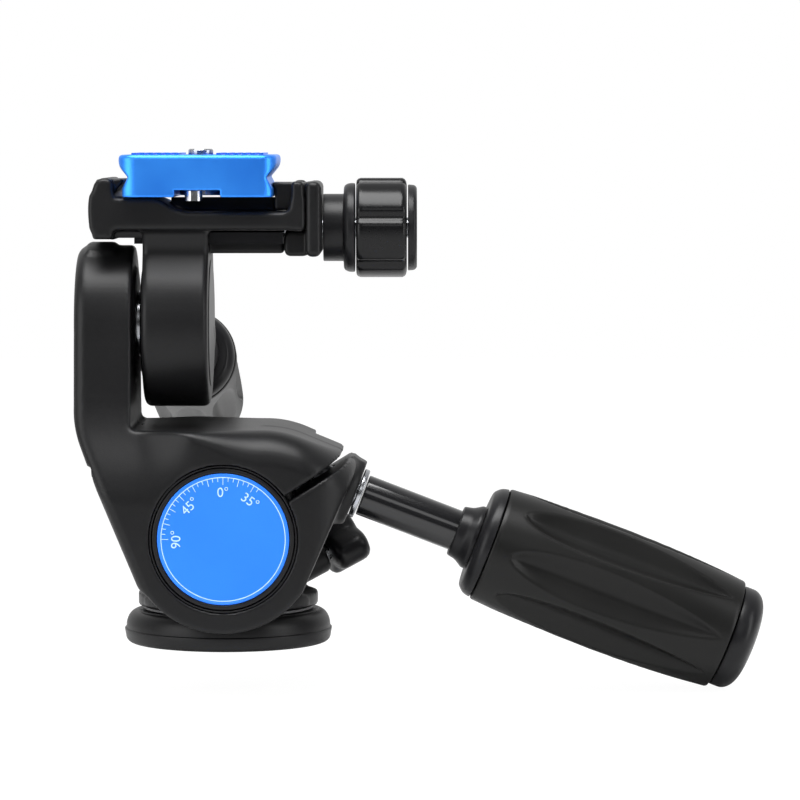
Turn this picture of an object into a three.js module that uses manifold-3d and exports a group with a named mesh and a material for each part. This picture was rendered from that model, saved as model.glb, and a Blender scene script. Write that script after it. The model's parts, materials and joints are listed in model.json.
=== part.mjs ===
// A compact three-way pan tilt head, in millimetres, +Z up.
// The origin is where the pan axis meets the underside of the base.
// +X points to the tilt handle's side, and -Y to the side that shows the dial.

import * as THREE from 'three';
import { mergeVertices } from 'three/addons/utils/BufferGeometryUtils.js';
import Module from 'manifold-3d';

const wasm = await Module();
wasm.setup();

// Fits that the whole head shares
const gap = 0.3;
const overrun = 2;

// Base disc, which screws onto a tripod
const baseRadius = 26;
const baseRimHeight = 3.4;
const baseChamfer = 1.7;
const baseTopInset = 3.2;
const baseTopRadius = baseRadius - baseTopInset;
const baseTop = 8.2;

// Threaded insert and pan spindle
const socketRadius = 4.76;
const socketDepth = 7;
const insertRadius = 8;
const insertLift = 0.4;
const spindleRadius = 6;
const panNutRadius = 8.2;
const panNutHeight = 3.2;

// Glide ring and pan housing
const glideThickness = 0.5;
const neckInset = 3.5;
const housingRadius = baseRadius - neckInset;
const glideRadius = housingRadius - gap;
const glideWidth = 6;
const housingFloor = 3.4;
const earRadius = 19;
const earInner = 9.6;
const earSetback = 0.4;
const earOuter = baseRadius - earSetback;
const pedestalTopHalf = 15.2;
const pedestalTopDrop = 11.4;
const pedestalFootHalf = 19.3;

// Tilt axis and what turns on it
const tiltHeight = 28.4;
const trunnionRadius = 16;
const flangeRadius = 17.4;
const sleeveWall = 0.7;
const trunnionInset = 0.4;
const dialRadius = 16.1;
const dialThickness = 1.2;
const tieRadius = 4;
const tieHeadRadius = 8;
const tieHeadHeight = 3;

// Pan lock knob, with its screw and plunger
const panTipX = 12.6;
const panTipY = 15.4;
const panTipHeight = 14.4;
const panKnobAngle = 22;
const panKnobRise = 25;
const panKnobStart = 14;
const panKnobRadius = 8.6;
const panKnobLength = 9.4;
const panKnobHollow = 6.2;
const panKnobRound = 1.2;
const panKnobGroove = 1.7;
const panBossRadius = 4.6;
const panBossEnd = 12.6;
const panScrewRadius = 2;
const plungerRadius = 1.5;

// Tilt yoke: cheeks, web, jaws and column
const cheekInner = earOuter + gap * 2;
const cheekWall = 4.1;
const yokeHalf = cheekInner + cheekWall;
const lobeRadius = 23.3;
const webRadius = 19.5;
const webClearance = 0.8;
const webReach = Math.hypot(baseRadius, tiltHeight) + webClearance;
const sweepGap = 0.4;
const columnFootRound = 3.6;
const webStartAngle = 118;
const jawAngle = 1.5;
const slitAngle = 32.5;
const slitWidth = 1.2;
const roofRise = 26.1;
const shoulderX = 5;
const brokenX = 18.2;
const brokenRise = 24.5;
const upperTipX = 30.6;
const upperTipRise = 19.4;
const lowerTipX = 33.6;
const lowerFlankX = 27;
const lowerFlankRise = 4.2;
const flankAngle = 23.3;
const flankRound = 30;
const columnInner = 23;
const columnOuter = 37.2;
const columnHeadRadius = 19.5;
const columnFlareRise = 35;
const columnFlareHalf = 20.8;
const columnHeadRound = 3;
const headPadRadius = 20.4;
const headPadLeft = 34.4;
const headPadRight = 27.9;
const headPadSpread = 40;
const cheekTopRound = 9;
const columnFlareFoot = roofRise - cheekTopRound;
const sideTaperX = 18;
const noseRadius = 10.2;
const noseTipRadius = 9;
const noseStraightShare = 0.6;
const farCut = 11;
const farCutStart = -128;
const farCutEnd = 46;
const farLobeRadius = 20.4;

// Tilt handle, along its own line
const handleDrop = 21.1;
const handleOffset = 19.9;
const noseEnd = 26.6;
const handleWasherRadius = 6.35;
const handleWasherThickness = 1.3;
const handleScrewRadius = 3.9;
const handleScrewTail = 7;
const shaftRadius = 5.2;
const shaftEngaged = 22;
const stopRadius = 6.4;
const stopLength = 3;

// Grip, measured from its rim, for both handles
const tiltRimAt = 62.8;
const gripTravel = 25;
const gripRimRadius = 14.7;
const gripTailRadius = 14.1;
const gripBelly = 1.9;
const lateralGripBelly = 0.2;
const lateralGripSlim = 2;
const gripLength = 63.4;
const gripWall = 2.7;
const shoulderRadius = 12.4;
const shoulderLength = 3.5;
const shoulderFlareShare = 0.7;
const shoulderRiseShare = 0.35;
const collarTipRadius = 6.4;
const collarRadius = 8.2;
const collarLength = 5.2;
const collarSeat = 3;
const collarShares = [[0.3, 0.5], [1, 0.85]];
const capRadius = 13.2;
const capDome = 6.8;
const capEdgeShare = 0.35;
const scoopDepth = 1.6;
const scoopCount = 8;
const scoopLengthShare = 0.9;
const scoopWidthShare = 0.75;

// Lateral axis, and the column head's fittings
const lateralHeight = 79.8;
const lateralSpindleRadius = 7;
const lateralWasherRadius = 9.6;
const pivotBossRadius = 14;
const columnBossLength = 0.6;
const legBossLength = 0.7;
const spindleCapRadius = 9;
const spindleCapDepth = 1.4;

// Leg, hub and platform casting
const legLeft = -20.5;
const legRight = -4.2;
const hubRadius = 20.75;
const waistHalf = 12.5;
const waistRise = 17.5;
const hubCapRadius = 15.8;
const hubCapHeight = 0.4;
const hubCapPlug = 6;
const hubCapCrown = 0.1;
const platformHalf = 17;
const platformLeft = -33.2;
const leftFootInset = 0.8;
const leftTopInset = 1.7;
const leftBulgeRise = 28.7;
const leftBulgeRound = 40;
const platformRight = 19.6;
const platformBottomRise = 23.5;
const platformRound = 1.6;
const footBottomRise = 21.3;
const footRight = -27.6;
const deckRibHalf = 12;
const deckRibBottomRise = 21.5;
const leftJawTopRise = 36.4;
const leftJawRound = 2;
const clampFloorRise = 31.4;
const reliefLeft = -15.6;
const reliefRight = -12;
const reliefFloorRise = 28.1;
const reliefWebHalf = 1.5;
const postLeft = 15.9;
const postTopRise = 35.6;
const postInner = 12;

// Quick-release plate
const plateCentre = -6.6;
const plateHalf = 19.6;
const plateWaistHalf = 17;
const plateFootHalf = 18.5;
const plateBottomRise = 31.7;
const plateTopRise = 42.1;
const plateWaistRise = 36.6;
const plateShoulderRise = 39.6;
const plateFootTopRise = 33.8;
const plateLengthHalf = 20;
const plateCornerRadius = 3.4;
const plateSlotHalf = 3.4;
const plateSlotBottomHalf = 5.6;
const plateSlotDepth = 1.7;
const plateSlotReach = 12;
const platePocketReach = 11;
const plateRibHeight = 0.5;
const plateRibWidth = 1.1;
const plateRibPitch = 2.1;
const plateRibInset = 2.6;
const plateRibCount = 6;
const plateRibInner = 4.6;
const cameraScrewRadius = 3.1;
const cameraScrewProud = 1.4;
const cameraHeadRadius = 5.3;
const cameraHeadHeight = 4;
const cameraHeadLift = 0.4;
const stopScrewRadius = 2.2;
const stopScrewHeight = 2.9;
const stopScrewInset = 3.6;
const stopScrewShift = 1;

// Moving jaw and clamp knob
const jawLeft = 19.9;
const jawRight = 23.7;
const jawBottomRise = 17;
const jawTopRise = 35.5;
const lipLeft = 12.2;
const lipTopLeft = 11.3;
const lipBendRise = 33.6;
const tongueHalf = 11.7;
const tongueBottomRise = 28.4;
const hookLeft = 14.5;
const hookTopRise = 23.1;
const hookHalf = 10;
const barLeft = -22.6;
const barNear = -10.8;
const barFar = -6.4;
const bossHalf = 5.8;
const bossBottomRise = 17.6;
const barTopRise = 22.9;
const barBottomRise = 20.1;
const clampRise = 23.9;
const clampScrewRadius = 2.5;
const clampScrewLeft = -9;
const neckRadius = 8.4;
const neckLength = 5.4;
const flangeKnobRadius = 11.1;
const flangeKnobLength = 3.1;
const clampKnobRadius = 12.4;
const clampKnobLength = 12.9;
const clampKnobGroove = 1;
const clampKnobRound = 0.8;
const clampCapRadius = 10.75;
const clampCapLength = 2.3;
const knobBore = 3.2;

// Heights of the clamp, which stands on the lateral axis
const platformBottom = lateralHeight + platformBottomRise;
const footBottom = lateralHeight + footBottomRise;
const deckRibBottom = lateralHeight + deckRibBottomRise;
const leftJawTop = lateralHeight + leftJawTopRise;
const clampFloor = lateralHeight + clampFloorRise;
const reliefFloor = lateralHeight + reliefFloorRise;
const postTop = lateralHeight + postTopRise;
const plateBottom = lateralHeight + plateBottomRise;
const plateTop = lateralHeight + plateTopRise;
const plateWaist = lateralHeight + plateWaistRise;
const plateShoulder = lateralHeight + plateShoulderRise;
const plateFootTop = lateralHeight + plateFootTopRise;
const jawBottom = lateralHeight + jawBottomRise;
const jawTop = lateralHeight + jawTopRise;
const lipBendHeight = lateralHeight + lipBendRise;
const tongueBottom = lateralHeight + tongueBottomRise;
const hookTop = lateralHeight + hookTopRise;
const bossBottom = lateralHeight + bossBottomRise;
const barTop = lateralHeight + barTopRise;
const barBottom = lateralHeight + barBottomRise;
const clampHeight = lateralHeight + clampRise;

// Lateral handle
const lateralHandleDrop = 14;
const lateralNoseRadius = 7.9;
const lateralNoseEnd = 27;
const lateralRimAt = 44.7;
const lateralScrewTip = 12.4;
const brakeShoeTip = 7.4;

// Finishes
function finish(color, roughness, metalness) {
  return new THREE.MeshStandardMaterial({ color, roughness, metalness });
}
const castBlack = () => finish(0x1d1d1f, 0.45, 0.1);
const plasticBlack = () => finish(0x18181a, 0.35, 0);
const rubberBlack = () => finish(0x1b1b1c, 0.7, 0);
const anodisedBlue = () => finish(0x2878eb, 0.4, 0.6);
const dialBlue = () => finish(0x2684ff, 0.4, 0.1);
const steel = () => finish(0xc8cacc, 0.25, 1);
const blackSteel = () => finish(0x141415, 0.2, 0.8);
const brass = () => finish(0xb8923f, 0.35, 1);
const nylon = () => finish(0x8d8f92, 0.6, 0);

// Outline helpers
const radians = THREE.MathUtils.degToRad;

function polar(radius, degrees) {
  return [radius * Math.cos(radians(degrees)), radius * Math.sin(radians(degrees))];
}

function arc(radius, from, to, steps, x = 0, y = 0) {
  const points = [];
  for (let i = 0; i <= steps; i += 1) {
    const [px, py] = polar(radius, from + ((to - from) * i) / steps);
    points.push([x + px, y + py]);
  }
  return points;
}

function filleted(corners, steps = 3) {
  const points = [];
  corners.forEach(([x, y, radius = 0], i) => {
    const before = corners[(i + corners.length - 1) % corners.length];
    const after = corners[(i + 1) % corners.length];
    const here = new THREE.Vector2(x, y);
    const back = new THREE.Vector2(before[0], before[1]).sub(here);
    const ahead = new THREE.Vector2(after[0], after[1]).sub(here);
    const half = Math.acos(back.clone().normalize().dot(ahead.clone().normalize())) / 2;
    const room = Math.min(back.length(), ahead.length()) / 2;
    const inset = Math.min(radius / Math.tan(half), room);
    if (inset <= 0) {
      points.push([x, y]);
      return;
    }
    const start = here.clone().add(back.setLength(inset));
    const end = here.clone().add(ahead.setLength(inset));
    for (let k = 0; k <= steps; k += 1) {
      const t = k / steps;
      const near = start.clone().multiplyScalar((1 - t) * (1 - t));
      near.add(here.clone().multiplyScalar(2 * t * (1 - t)));
      near.add(end.clone().multiplyScalar(t * t));
      points.push([near.x, near.y]);
    }
  });
  return points;
}

// Solid helpers
function weld(geometry) {
  const bare = geometry.index ? geometry.toNonIndexed() : geometry.clone();
  bare.deleteAttribute('normal');
  bare.deleteAttribute('uv');
  const merged = mergeVertices(bare, 1e-5);
  const place = merged.attributes.position;
  const corners = merged.index.array;
  const kept = [];
  let volume = 0;
  const a = new THREE.Vector3();
  const b = new THREE.Vector3();
  const c = new THREE.Vector3();
  for (let i = 0; i < corners.length; i += 3) {
    const [p, q, r] = [corners[i], corners[i + 1], corners[i + 2]];
    if (p !== q && q !== r && r !== p) {
      kept.push(p, q, r);
      a.fromBufferAttribute(place, p);
      b.fromBufferAttribute(place, q);
      c.fromBufferAttribute(place, r);
      volume += a.dot(b.cross(c));
    }
  }
  if (volume < 0) kept.reverse();
  merged.setIndex(kept);
  return merged;
}

function solid(geometry) {
  const welded = weld(geometry);
  return new wasm.Manifold(new wasm.Mesh({
    numProp: 3,
    vertProperties: new Float32Array(welded.attributes.position.array),
    triVerts: new Uint32Array(welded.index.array),
  }));
}

function shell(manifold) {
  const cut = manifold.getMesh();
  const geometry = new THREE.BufferGeometry();
  geometry.setAttribute('position', new THREE.BufferAttribute(cut.vertProperties, 3));
  geometry.setIndex(new THREE.BufferAttribute(cut.triVerts, 1));
  return geometry;
}

function extruded(outline, depth) {
  const shape = new THREE.Shape(outline.map(([x, y]) => new THREE.Vector2(x, y)));
  return new THREE.ExtrudeGeometry(shape, { depth, bevelEnabled: false });
}

// An outline in X and Z, run along Y
function alongY(outline, from, to) {
  return extruded(outline, to - from).rotateX(Math.PI / 2).translate(0, to, 0);
}

// An outline in Y and Z, run along X
function alongX(outline, from, to) {
  const turn = new THREE.Matrix4().makeBasis(
    new THREE.Vector3(0, 1, 0),
    new THREE.Vector3(0, 0, 1),
    new THREE.Vector3(1, 0, 0),
  );
  return extruded(outline, to - from).applyMatrix4(turn).translate(from, 0, 0);
}

function alongZ(outline, from, to) {
  return extruded(outline, to - from).translate(0, 0, from);
}

// A profile of radius and height, turned about Z, with an optional change of radius
function turned(profile, sides = 36, reshape = null) {
  const closed = profile[0][0] > 0 ? [...profile, profile[0]] : profile;
  const points = closed.map(([r, h]) => new THREE.Vector2(r, h));
  const geometry = new THREE.LatheGeometry(points, sides).rotateX(Math.PI / 2);
  if (reshape) {
    const place = geometry.attributes.position;
    const spot = new THREE.Vector3();
    for (let i = 0; i < place.count; i += 1) {
      spot.fromBufferAttribute(place, i);
      const radius = Math.hypot(spot.x, spot.y);
      if (radius > 0) {
        const angle = Math.atan2(spot.y, spot.x);
        const scale = reshape(angle, radius, spot.z) / radius;
        place.setXYZ(i, spot.x * scale, spot.y * scale, spot.z);
      }
    }
  }
  return weld(geometry);
}

function rod(radius, from, to, sides = 24) {
  return turned([[0, from], [radius, from], [radius, to], [0, to]], sides);
}

function ring(inner, outer, from, to, sides = 36) {
  return turned([[inner, from], [outer, from], [outer, to], [inner, to]], sides);
}

function nut(bore, radius, from, to) {
  return shell(solid(rod(radius, from, to, 6)).subtract(solid(rod(bore, from - overrun, to + overrun))));
}

function turnToY(geometry) {
  return geometry.rotateX(-Math.PI / 2);
}

function turnToX(geometry) {
  return geometry.rotateY(Math.PI / 2);
}

function piece(parent, name, geometry, material) {
  const mesh = new THREE.Mesh(geometry, material);
  mesh.name = name;
  parent.add(mesh);
}

const head = new THREE.Group();

// Base and pan axis
const glideBottom = baseTop + gap;
const housingBottom = glideBottom + glideThickness + gap;
const housingTop = housingBottom + housingFloor;
const panNutBottom = housingTop + gap;
const spindleTop = panNutBottom + panNutHeight;

function baseShoulder() {
  const inset = baseRadius - baseTopRadius;
  const rise = baseTop - baseRimHeight;
  return arc(1, 0, 90, 3).map(([across, up]) => [
    baseTopRadius + inset * across,
    baseRimHeight + rise * up,
  ]);
}

function baseDisc() {
  const bore = insertRadius + gap;
  const foot = [baseRadius - baseChamfer, 0];
  const chamferTop = [baseRadius, baseChamfer];
  const chamferMid = [baseRadius - baseChamfer / 4, baseChamfer / 4];
  return turned([[bore, 0], foot, chamferMid, chamferTop, ...baseShoulder(), [bore, baseTop]], 40);
}

function threadedInsert() {
  const floor = insertLift + socketDepth;
  return turned([
    [socketRadius, insertLift],
    [insertRadius, insertLift],
    [insertRadius, floor],
    [socketRadius, floor],
  ], 28);
}

function panSpindle() {
  const flangeBottom = insertLift + socketDepth + gap;
  const flangeTop = baseTop - gap / 2;
  return turned([
    [0, flangeBottom],
    [insertRadius - gap, flangeBottom],
    [insertRadius - gap, flangeTop],
    [spindleRadius, flangeTop],
    [spindleRadius, spindleTop],
    [0, spindleTop],
  ], 24);
}

piece(head, 'base_disc', baseDisc(), castBlack());
piece(head, 'threaded_insert', threadedInsert(), brass());
piece(head, 'pan_spindle', panSpindle(), steel());
piece(head, 'pan_nut', nut(spindleRadius + gap, panNutRadius, panNutBottom, spindleTop), steel());
piece(
  head,
  'pan_glide_ring',
  ring(glideRadius - glideWidth, glideRadius, glideBottom, glideBottom + glideThickness, 36),
  nylon(),
);

// Pan housing, with two ears that carry the trunnions
const knobLine = new THREE.Group();
knobLine.position.set(panTipX, panTipY, panTipHeight);
knobLine.rotation.set(0, radians(90 - panKnobRise), radians(panKnobAngle), 'ZYX');
knobLine.updateMatrixWorld();
head.add(knobLine);

function towardsKnob(geometry) {
  return geometry.applyMatrix4(knobLine.matrixWorld);
}

function panHousing() {
  const drop = tiltHeight - housingTop;
  const drum = solid(turned([
    [spindleRadius + gap, housingBottom],
    [housingRadius, housingBottom],
    [housingRadius, housingTop],
    [spindleRadius + gap, housingTop],
  ], 36));
  const outline = [
    ...arc(earRadius, -36, 216, 18),
    [-pedestalTopHalf, -pedestalTopDrop],
    [-pedestalFootHalf, -drop],
    [-pedestalFootHalf, -drop - housingFloor / 2],
    [pedestalFootHalf, -drop - housingFloor / 2],
    [pedestalFootHalf, -drop],
    [pedestalTopHalf, -pedestalTopDrop],
  ];
  const within = solid(rod(housingRadius, housingBottom, tiltHeight + earRadius, 36))
    .add(solid(turnToY(rod(earRadius + gap, -earOuter, earOuter, 20)).translate(0, 0, tiltHeight)));
  let housing = drum;
  for (const side of [-1, 1]) {
    const edges = [side * earInner, side * earOuter].sort((a, b) => a - b);
    const ear = solid(alongY(outline, edges[0], edges[1]).translate(0, 0, tiltHeight));
    housing = housing.add(ear.intersect(within));
  }
  const boss = solid(towardsKnob(rod(panBossRadius, panScrewRadius, panBossEnd, 24)));
  housing = housing.add(boss);
  const bore = trunnionRadius + gap;
  const drumBore = solid(turnToY(rod(bore, -cheekInner - overrun, cheekInner + overrun, 28))
    .translate(0, 0, tiltHeight));
  const screwBore = solid(towardsKnob(rod(
    panScrewRadius + gap,
    -panScrewRadius,
    panBossEnd + overrun,
    20,
  )));
  const plungerBore = solid(rod(plungerRadius + gap, 0, panTipHeight, 20)
    .translate(panTipX, panTipY, 0));
  return shell(housing.subtract(drumBore).subtract(screwBore).subtract(plungerBore));
}

const glideTop = glideBottom + glideThickness;
piece(head, 'pan_housing', panHousing(), castBlack());
piece(
  head,
  'pan_brake_plunger',
  rod(plungerRadius, glideTop + gap, panTipHeight - panScrewRadius - gap * 2, 20)
    .translate(panTipX, panTipY, 0),
  brass(),
);

// Trunnions, which stay with the pan housing while the yoke turns round them
const flangeOuter = yokeHalf - trunnionInset;
const flangeInner = cheekInner - gap;
const tieRecess = tieHeadHeight + dialThickness + gap;

function trunnion(side) {
  const mouth = flangeOuter;
  const profile = [
    [tieRadius + gap, earInner],
    [trunnionRadius, earInner],
    [trunnionRadius, flangeInner],
    [flangeRadius, flangeInner],
    [flangeRadius, mouth],
    [dialRadius + gap / 2, mouth],
    [dialRadius + gap / 2, mouth - dialThickness],
    [tieHeadRadius + gap, mouth - dialThickness],
    [tieHeadRadius + gap, mouth - tieRecess - gap],
    [tieRadius + gap, mouth - tieRecess - gap],
  ];
  const upright = turned(profile, 32);
  return (side > 0 ? turnToY(upright) : upright.rotateX(Math.PI / 2)).translate(0, 0, tiltHeight);
}

function tieBolt() {
  const seat = flangeOuter - tieRecess;
  const head = flangeOuter - dialThickness - gap;
  return turnToY(turned([
    [0, -head],
    [tieHeadRadius, -head],
    [tieHeadRadius, -seat],
    [tieRadius, -seat],
    [tieRadius, head],
    [0, head],
  ], 24)).translate(0, 0, tiltHeight);
}

function tieNut() {
  const seat = flangeOuter - tieRecess;
  return turnToY(nut(tieRadius + gap, tieHeadRadius, seat, seat + tieHeadHeight))
    .translate(0, 0, tiltHeight);
}

function dialDisc(side) {
  const inner = flangeOuter - dialThickness + gap;
  const disc = rod(dialRadius, inner, flangeOuter, 40);
  return (side > 0 ? turnToY(disc) : disc.rotateX(Math.PI / 2)).translate(0, 0, tiltHeight);
}

function sleeve(side) {
  const wall = ring(
    flangeRadius + gap,
    flangeRadius + gap + sleeveWall,
    cheekInner,
    yokeHalf - gap,
    36,
  );
  return (side > 0 ? turnToY(wall) : wall.rotateX(Math.PI / 2)).translate(0, 0, tiltHeight);
}

piece(head, 'trunnion_near', trunnion(-1), plasticBlack());
piece(head, 'trunnion_far', trunnion(1), plasticBlack());
piece(head, 'tie_bolt', tieBolt(), steel());
piece(head, 'tie_nut', tieNut(), steel());
piece(head, 'tilt_dial', dialDisc(-1), dialBlue());
piece(head, 'far_cover', dialDisc(1), plasticBlack());

// Pan lock knob
function lobes(count, depth, from, to) {
  return (angle, radius, height) => {
    if (height < from || height > to) return radius;
    const groove = Math.abs(Math.cos((angle * count) / 2)) ** 6;
    return radius - depth * groove;
  };
}

function panLockKnob() {
  const end = panKnobStart + panKnobLength;
  const round = panKnobRound;
  const floor = panKnobStart + panKnobHollow;
  const grooved = lobes(6, panKnobGroove, panKnobStart, end);
  return turned([
    [panScrewRadius + gap, panKnobStart],
    [panKnobRadius - round, panKnobStart],
    [panKnobRadius, panKnobStart + round],
    [panKnobRadius, end - round * 2],
    [panKnobRadius - round * 2, end],
    [0, end],
    [0, floor],
    [panScrewRadius + gap, floor],
  ], 36, (angle, radius, height) => (
    radius > panKnobRadius / 2 ? grooved(angle, radius, height) : radius
  ));
}

function panLockScrew() {
  const end = panKnobStart + panKnobHollow - gap;
  return turned([
    [0, 0],
    [panScrewRadius, panScrewRadius],
    [panScrewRadius, end],
    [0, end],
  ], 20);
}

piece(knobLine, 'pan_lock_screw', panLockScrew(), steel());
piece(knobLine, 'pan_lock_knob', panLockKnob(), plasticBlack());

// Handle line: local +Z runs from the foot of the axis out along the handle
const handleFoot = new THREE.Vector3(
  handleOffset * Math.sin(radians(handleDrop)),
  0,
  tiltHeight + handleOffset * Math.cos(radians(handleDrop)),
);
const handleLine = new THREE.Group();
handleLine.position.copy(handleFoot);
handleLine.rotation.y = radians(90 + handleDrop);
handleLine.updateMatrixWorld();
head.add(handleLine);

// Tilt yoke: heights in these outlines are measured from the tilt axis
const lateralRise = lateralHeight - tiltHeight;
const columnTop = lateralRise + columnHeadRadius;
const yokeBottom = -lobeRadius;

function atTiltAxis(geometry) {
  return geometry.translate(0, 0, tiltHeight);
}

// The left edge leans out from where it touches the lobe, then rises straight up the column
function flankRise(x) {
  const lean = radians(flankAngle);
  return (-lobeRadius * Math.cos(lean) - x) / Math.tan(lean) - lobeRadius * Math.sin(lean);
}

function bodyOutline() {
  const lobe = arc(lobeRadius, 180 + flankAngle, 336, 14);
  return [
    [lowerFlankX, lowerFlankRise],
    [lowerTipX - noseTipRadius / 2, lowerFlankRise + noseTipRadius / 4],
    [lowerTipX, upperTipRise - gap],
    [upperTipX, upperTipRise],
    [(upperTipX + brokenX) / 2, (upperTipRise + brokenRise) / 2 + sleeveWall],
    [brokenX, brokenRise],
    [shoulderX, roofRise],
    [-columnInner, roofRise],
    [-columnInner, flankRise(-columnInner)],
    ...lobe,
  ];
}

function bodySection() {
  const top = roofRise;
  const side = yokeHalf;
  return [
    [-side, yokeBottom],
    [side, yokeBottom],
    ...arc(cheekTopRound, 0, 90, 6, side - cheekTopRound, top - cheekTopRound),
    ...arc(cheekTopRound, 90, 180, 6, cheekTopRound - side, top - cheekTopRound),
  ];
}

function bodyPlan() {
  const reach = lowerTipX + overrun - sideTaperX;
  const spread = yokeHalf - noseTipRadius;
  const right = [];
  for (let i = 0; i <= 8; i += 1) {
    const angle = (i / 8) * (Math.PI / 2);
    right.push([sideTaperX + reach * Math.sin(angle), noseTipRadius + spread * Math.cos(angle)]);
  }
  const left = -columnOuter - overrun;
  return [
    [left, -yokeHalf],
    ...right.map(([x, y]) => [x, -y]),
    ...right.reverse(),
    [left, yokeHalf],
  ];
}

function columnOutline() {
  const foot = columnFootRound - columnInner;
  return filleted([
    [-columnInner, flankRise(-columnInner)],
    [foot, roofRise - columnFootRound],
    [foot, roofRise],
    [-columnInner, roofRise, columnFootRound],
    [-columnInner, columnTop, columnHeadRound],
    [-columnOuter, columnTop, columnHeadRound],
    [-columnOuter, flankRise(-columnOuter), flankRound],
  ], 4);
}

function columnSection() {
  const flare = [];
  const flareDrop = columnFlareFoot;
  for (let i = 0; i <= 6; i += 1) {
    const share = i / 6;
    const ease = share * share * (3 - 2 * share);
    flare.push([
      yokeHalf + (columnFlareHalf - yokeHalf) * ease,
      flareDrop + (columnFlareRise - flareDrop) * share,
    ]);
  }
  const headArc = arc(columnHeadRadius, 0, 180, 12, 0, lateralRise);
  return [
    [-yokeHalf, yokeBottom],
    [yokeHalf, yokeBottom],
    ...flare,
    ...headArc,
    ...flare.reverse().map(([y, z]) => [-y, z]),
  ];
}

// The base and pan housing pass through this space as the yoke tilts to its end
function webCavity() {
  const ceiling = polar(webRadius, webStartAngle)[1];
  const turnedTo = (height) => 180 - THREE.MathUtils.radToDeg(Math.asin(height / webReach));
  const slot = solid(alongY([
    ...arc(webRadius, jawAngle, webStartAngle, 12),
    ...arc(webReach, turnedTo(ceiling), 360 + jawAngle, 14),
  ], -cheekInner, cheekInner));
  const rim = arc(webReach, 180, turnedTo(baseRadius + sweepGap), 4).slice(1);
  const swept = solid(turnToX(turned([
    [0, -webReach],
    ...rim.map(([along, across]) => [across, along]),
    ...baseShoulder().map(([radius, height]) => [radius + sweepGap, height + sweepGap - tiltHeight]),
    [housingRadius + sweepGap, sweepGap - pedestalTopDrop],
    [0, sweepGap - pedestalTopDrop],
  ], 32)));
  const between = solid(turnToY(rod(webReach + overrun, -cheekInner, cheekInner, 24)));
  return slot.add(swept.intersect(between)).translate(0, 0, tiltHeight);
}

function fanOutline(from, to, inner, outer) {
  return [...arc(inner, from, to, 10), ...arc(outer, to, from, 6)];
}

function headPad() {
  return alongX([
    [0, 0],
    ...arc(headPadRadius, 90 - headPadSpread, 90 + headPadSpread, 6),
  ], -headPadLeft, -headPadRight).translate(0, 0, lateralHeight);
}

function tiltYoke() {
  const wide = columnOuter * 2;
  const body = solid(atTiltAxis(alongY(bodyOutline(), -yokeHalf, yokeHalf)))
    .intersect(solid(atTiltAxis(alongX(bodySection(), -wide, wide))))
    .intersect(solid(alongZ(bodyPlan(), -overrun, lateralHeight)));
  const column = solid(atTiltAxis(alongY(columnOutline(), -yokeHalf, yokeHalf)))
    .intersect(solid(atTiltAxis(alongX(columnSection(), -wide, wide))));
  const nose = solid(turned([
    [0, 0],
    [noseRadius, 0],
    [noseRadius, noseEnd * noseStraightShare],
    [noseTipRadius, noseEnd - gap],
    [noseTipRadius - gap, noseEnd],
    [0, noseEnd],
  ], 24).applyMatrix4(handleLine.matrixWorld));
  const noseLimit = solid(atTiltAxis(alongY([
    [0, 0],
    polar(wide, jawAngle),
    [wide, upperTipRise],
    [lowerTipX, upperTipRise - gap],
    [upperTipX, upperTipRise],
    [brokenX, brokenRise],
    [0, roofRise],
  ], -noseRadius, noseRadius)));
  const slit = solid(atTiltAxis(alongY([
    [0, -slitWidth / 2],
    [wide, -slitWidth / 2],
    [wide, slitWidth / 2],
    [0, slitWidth / 2],
  ], -wide, wide).rotateY(radians(-slitAngle))));
  const farSpace = solid(atTiltAxis(alongY(
    fanOutline(farCutStart, farCutEnd, farLobeRadius, wide),
    farCut,
    wide,
  )));
  const bossSpace = solid(atTiltAxis(alongY(
    fanOutline(farCutStart, farCutEnd, webRadius - gap, farLobeRadius + overrun),
    farCut,
    cheekInner,
  )));
  const sleeveBore = flangeRadius + gap + sleeveWall + gap;
  const bore = solid(atTiltAxis(turnToY(rod(sleeveBore, -wide, wide, 40))));
  const screwBore = solid(rod(handleScrewRadius + gap, -handleScrewTail - gap, wide, 24)
    .applyMatrix4(handleLine.matrixWorld));
  const spindleBore = solid(turnToX(rod(lateralSpindleRadius + gap, -wide, 0, 24))
    .translate(0, 0, lateralHeight));
  const capSeat = solid(turnToX(rod(
    spindleCapRadius + gap,
    -wide,
    -columnOuter + spindleCapDepth,
    24,
  )).translate(0, 0, lateralHeight));
  const pivotBoss = solid(alongLateral(rod(
    pivotBossRadius,
    -columnInner - gap,
    -columnInner + columnBossLength,
    32,
  )));
  const yoke = body
    .add(column)
    .add(nose.intersect(noseLimit))
    .add(pivotBoss)
    .add(solid(headPad()));
  return shell(yoke
    .subtract(webCavity())
    .subtract(slit)
    .subtract(farSpace)
    .subtract(bossSpace)
    .subtract(bore)
    .subtract(screwBore)
    .subtract(spindleBore)
    .subtract(capSeat));
}

piece(head, 'tilt_yoke', tiltYoke(), castBlack());
piece(head, 'sleeve_near', sleeve(-1), plasticBlack());
piece(head, 'sleeve_far', sleeve(1), plasticBlack());

// Handles and telescoping grips, built along local +Z
function scooped(angle, radius, height) {
  const along = (height / gripLength) * 2 - 1;
  if (Math.abs(along) > scoopLengthShare) return radius;
  const lens = 1 - (along / scoopLengthShare) ** 2;
  const across = Math.abs(((angle * scoopCount) / (2 * Math.PI)) % 1);
  const centred = Math.min(across, 1 - across) * 2;
  const width = scoopWidthShare * Math.sqrt(lens);
  if (centred >= width) return radius;
  return radius - scoopDepth * Math.sqrt(lens) * (1 - (centred / width) ** 2);
}

const shaftBore = shaftRadius + gap;
const coreBore = stopRadius + gap;

const tiltGirth = { slim: 0, belly: gripBelly };
const lateralGirth = { slim: lateralGripSlim, belly: lateralGripBelly };

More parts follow.
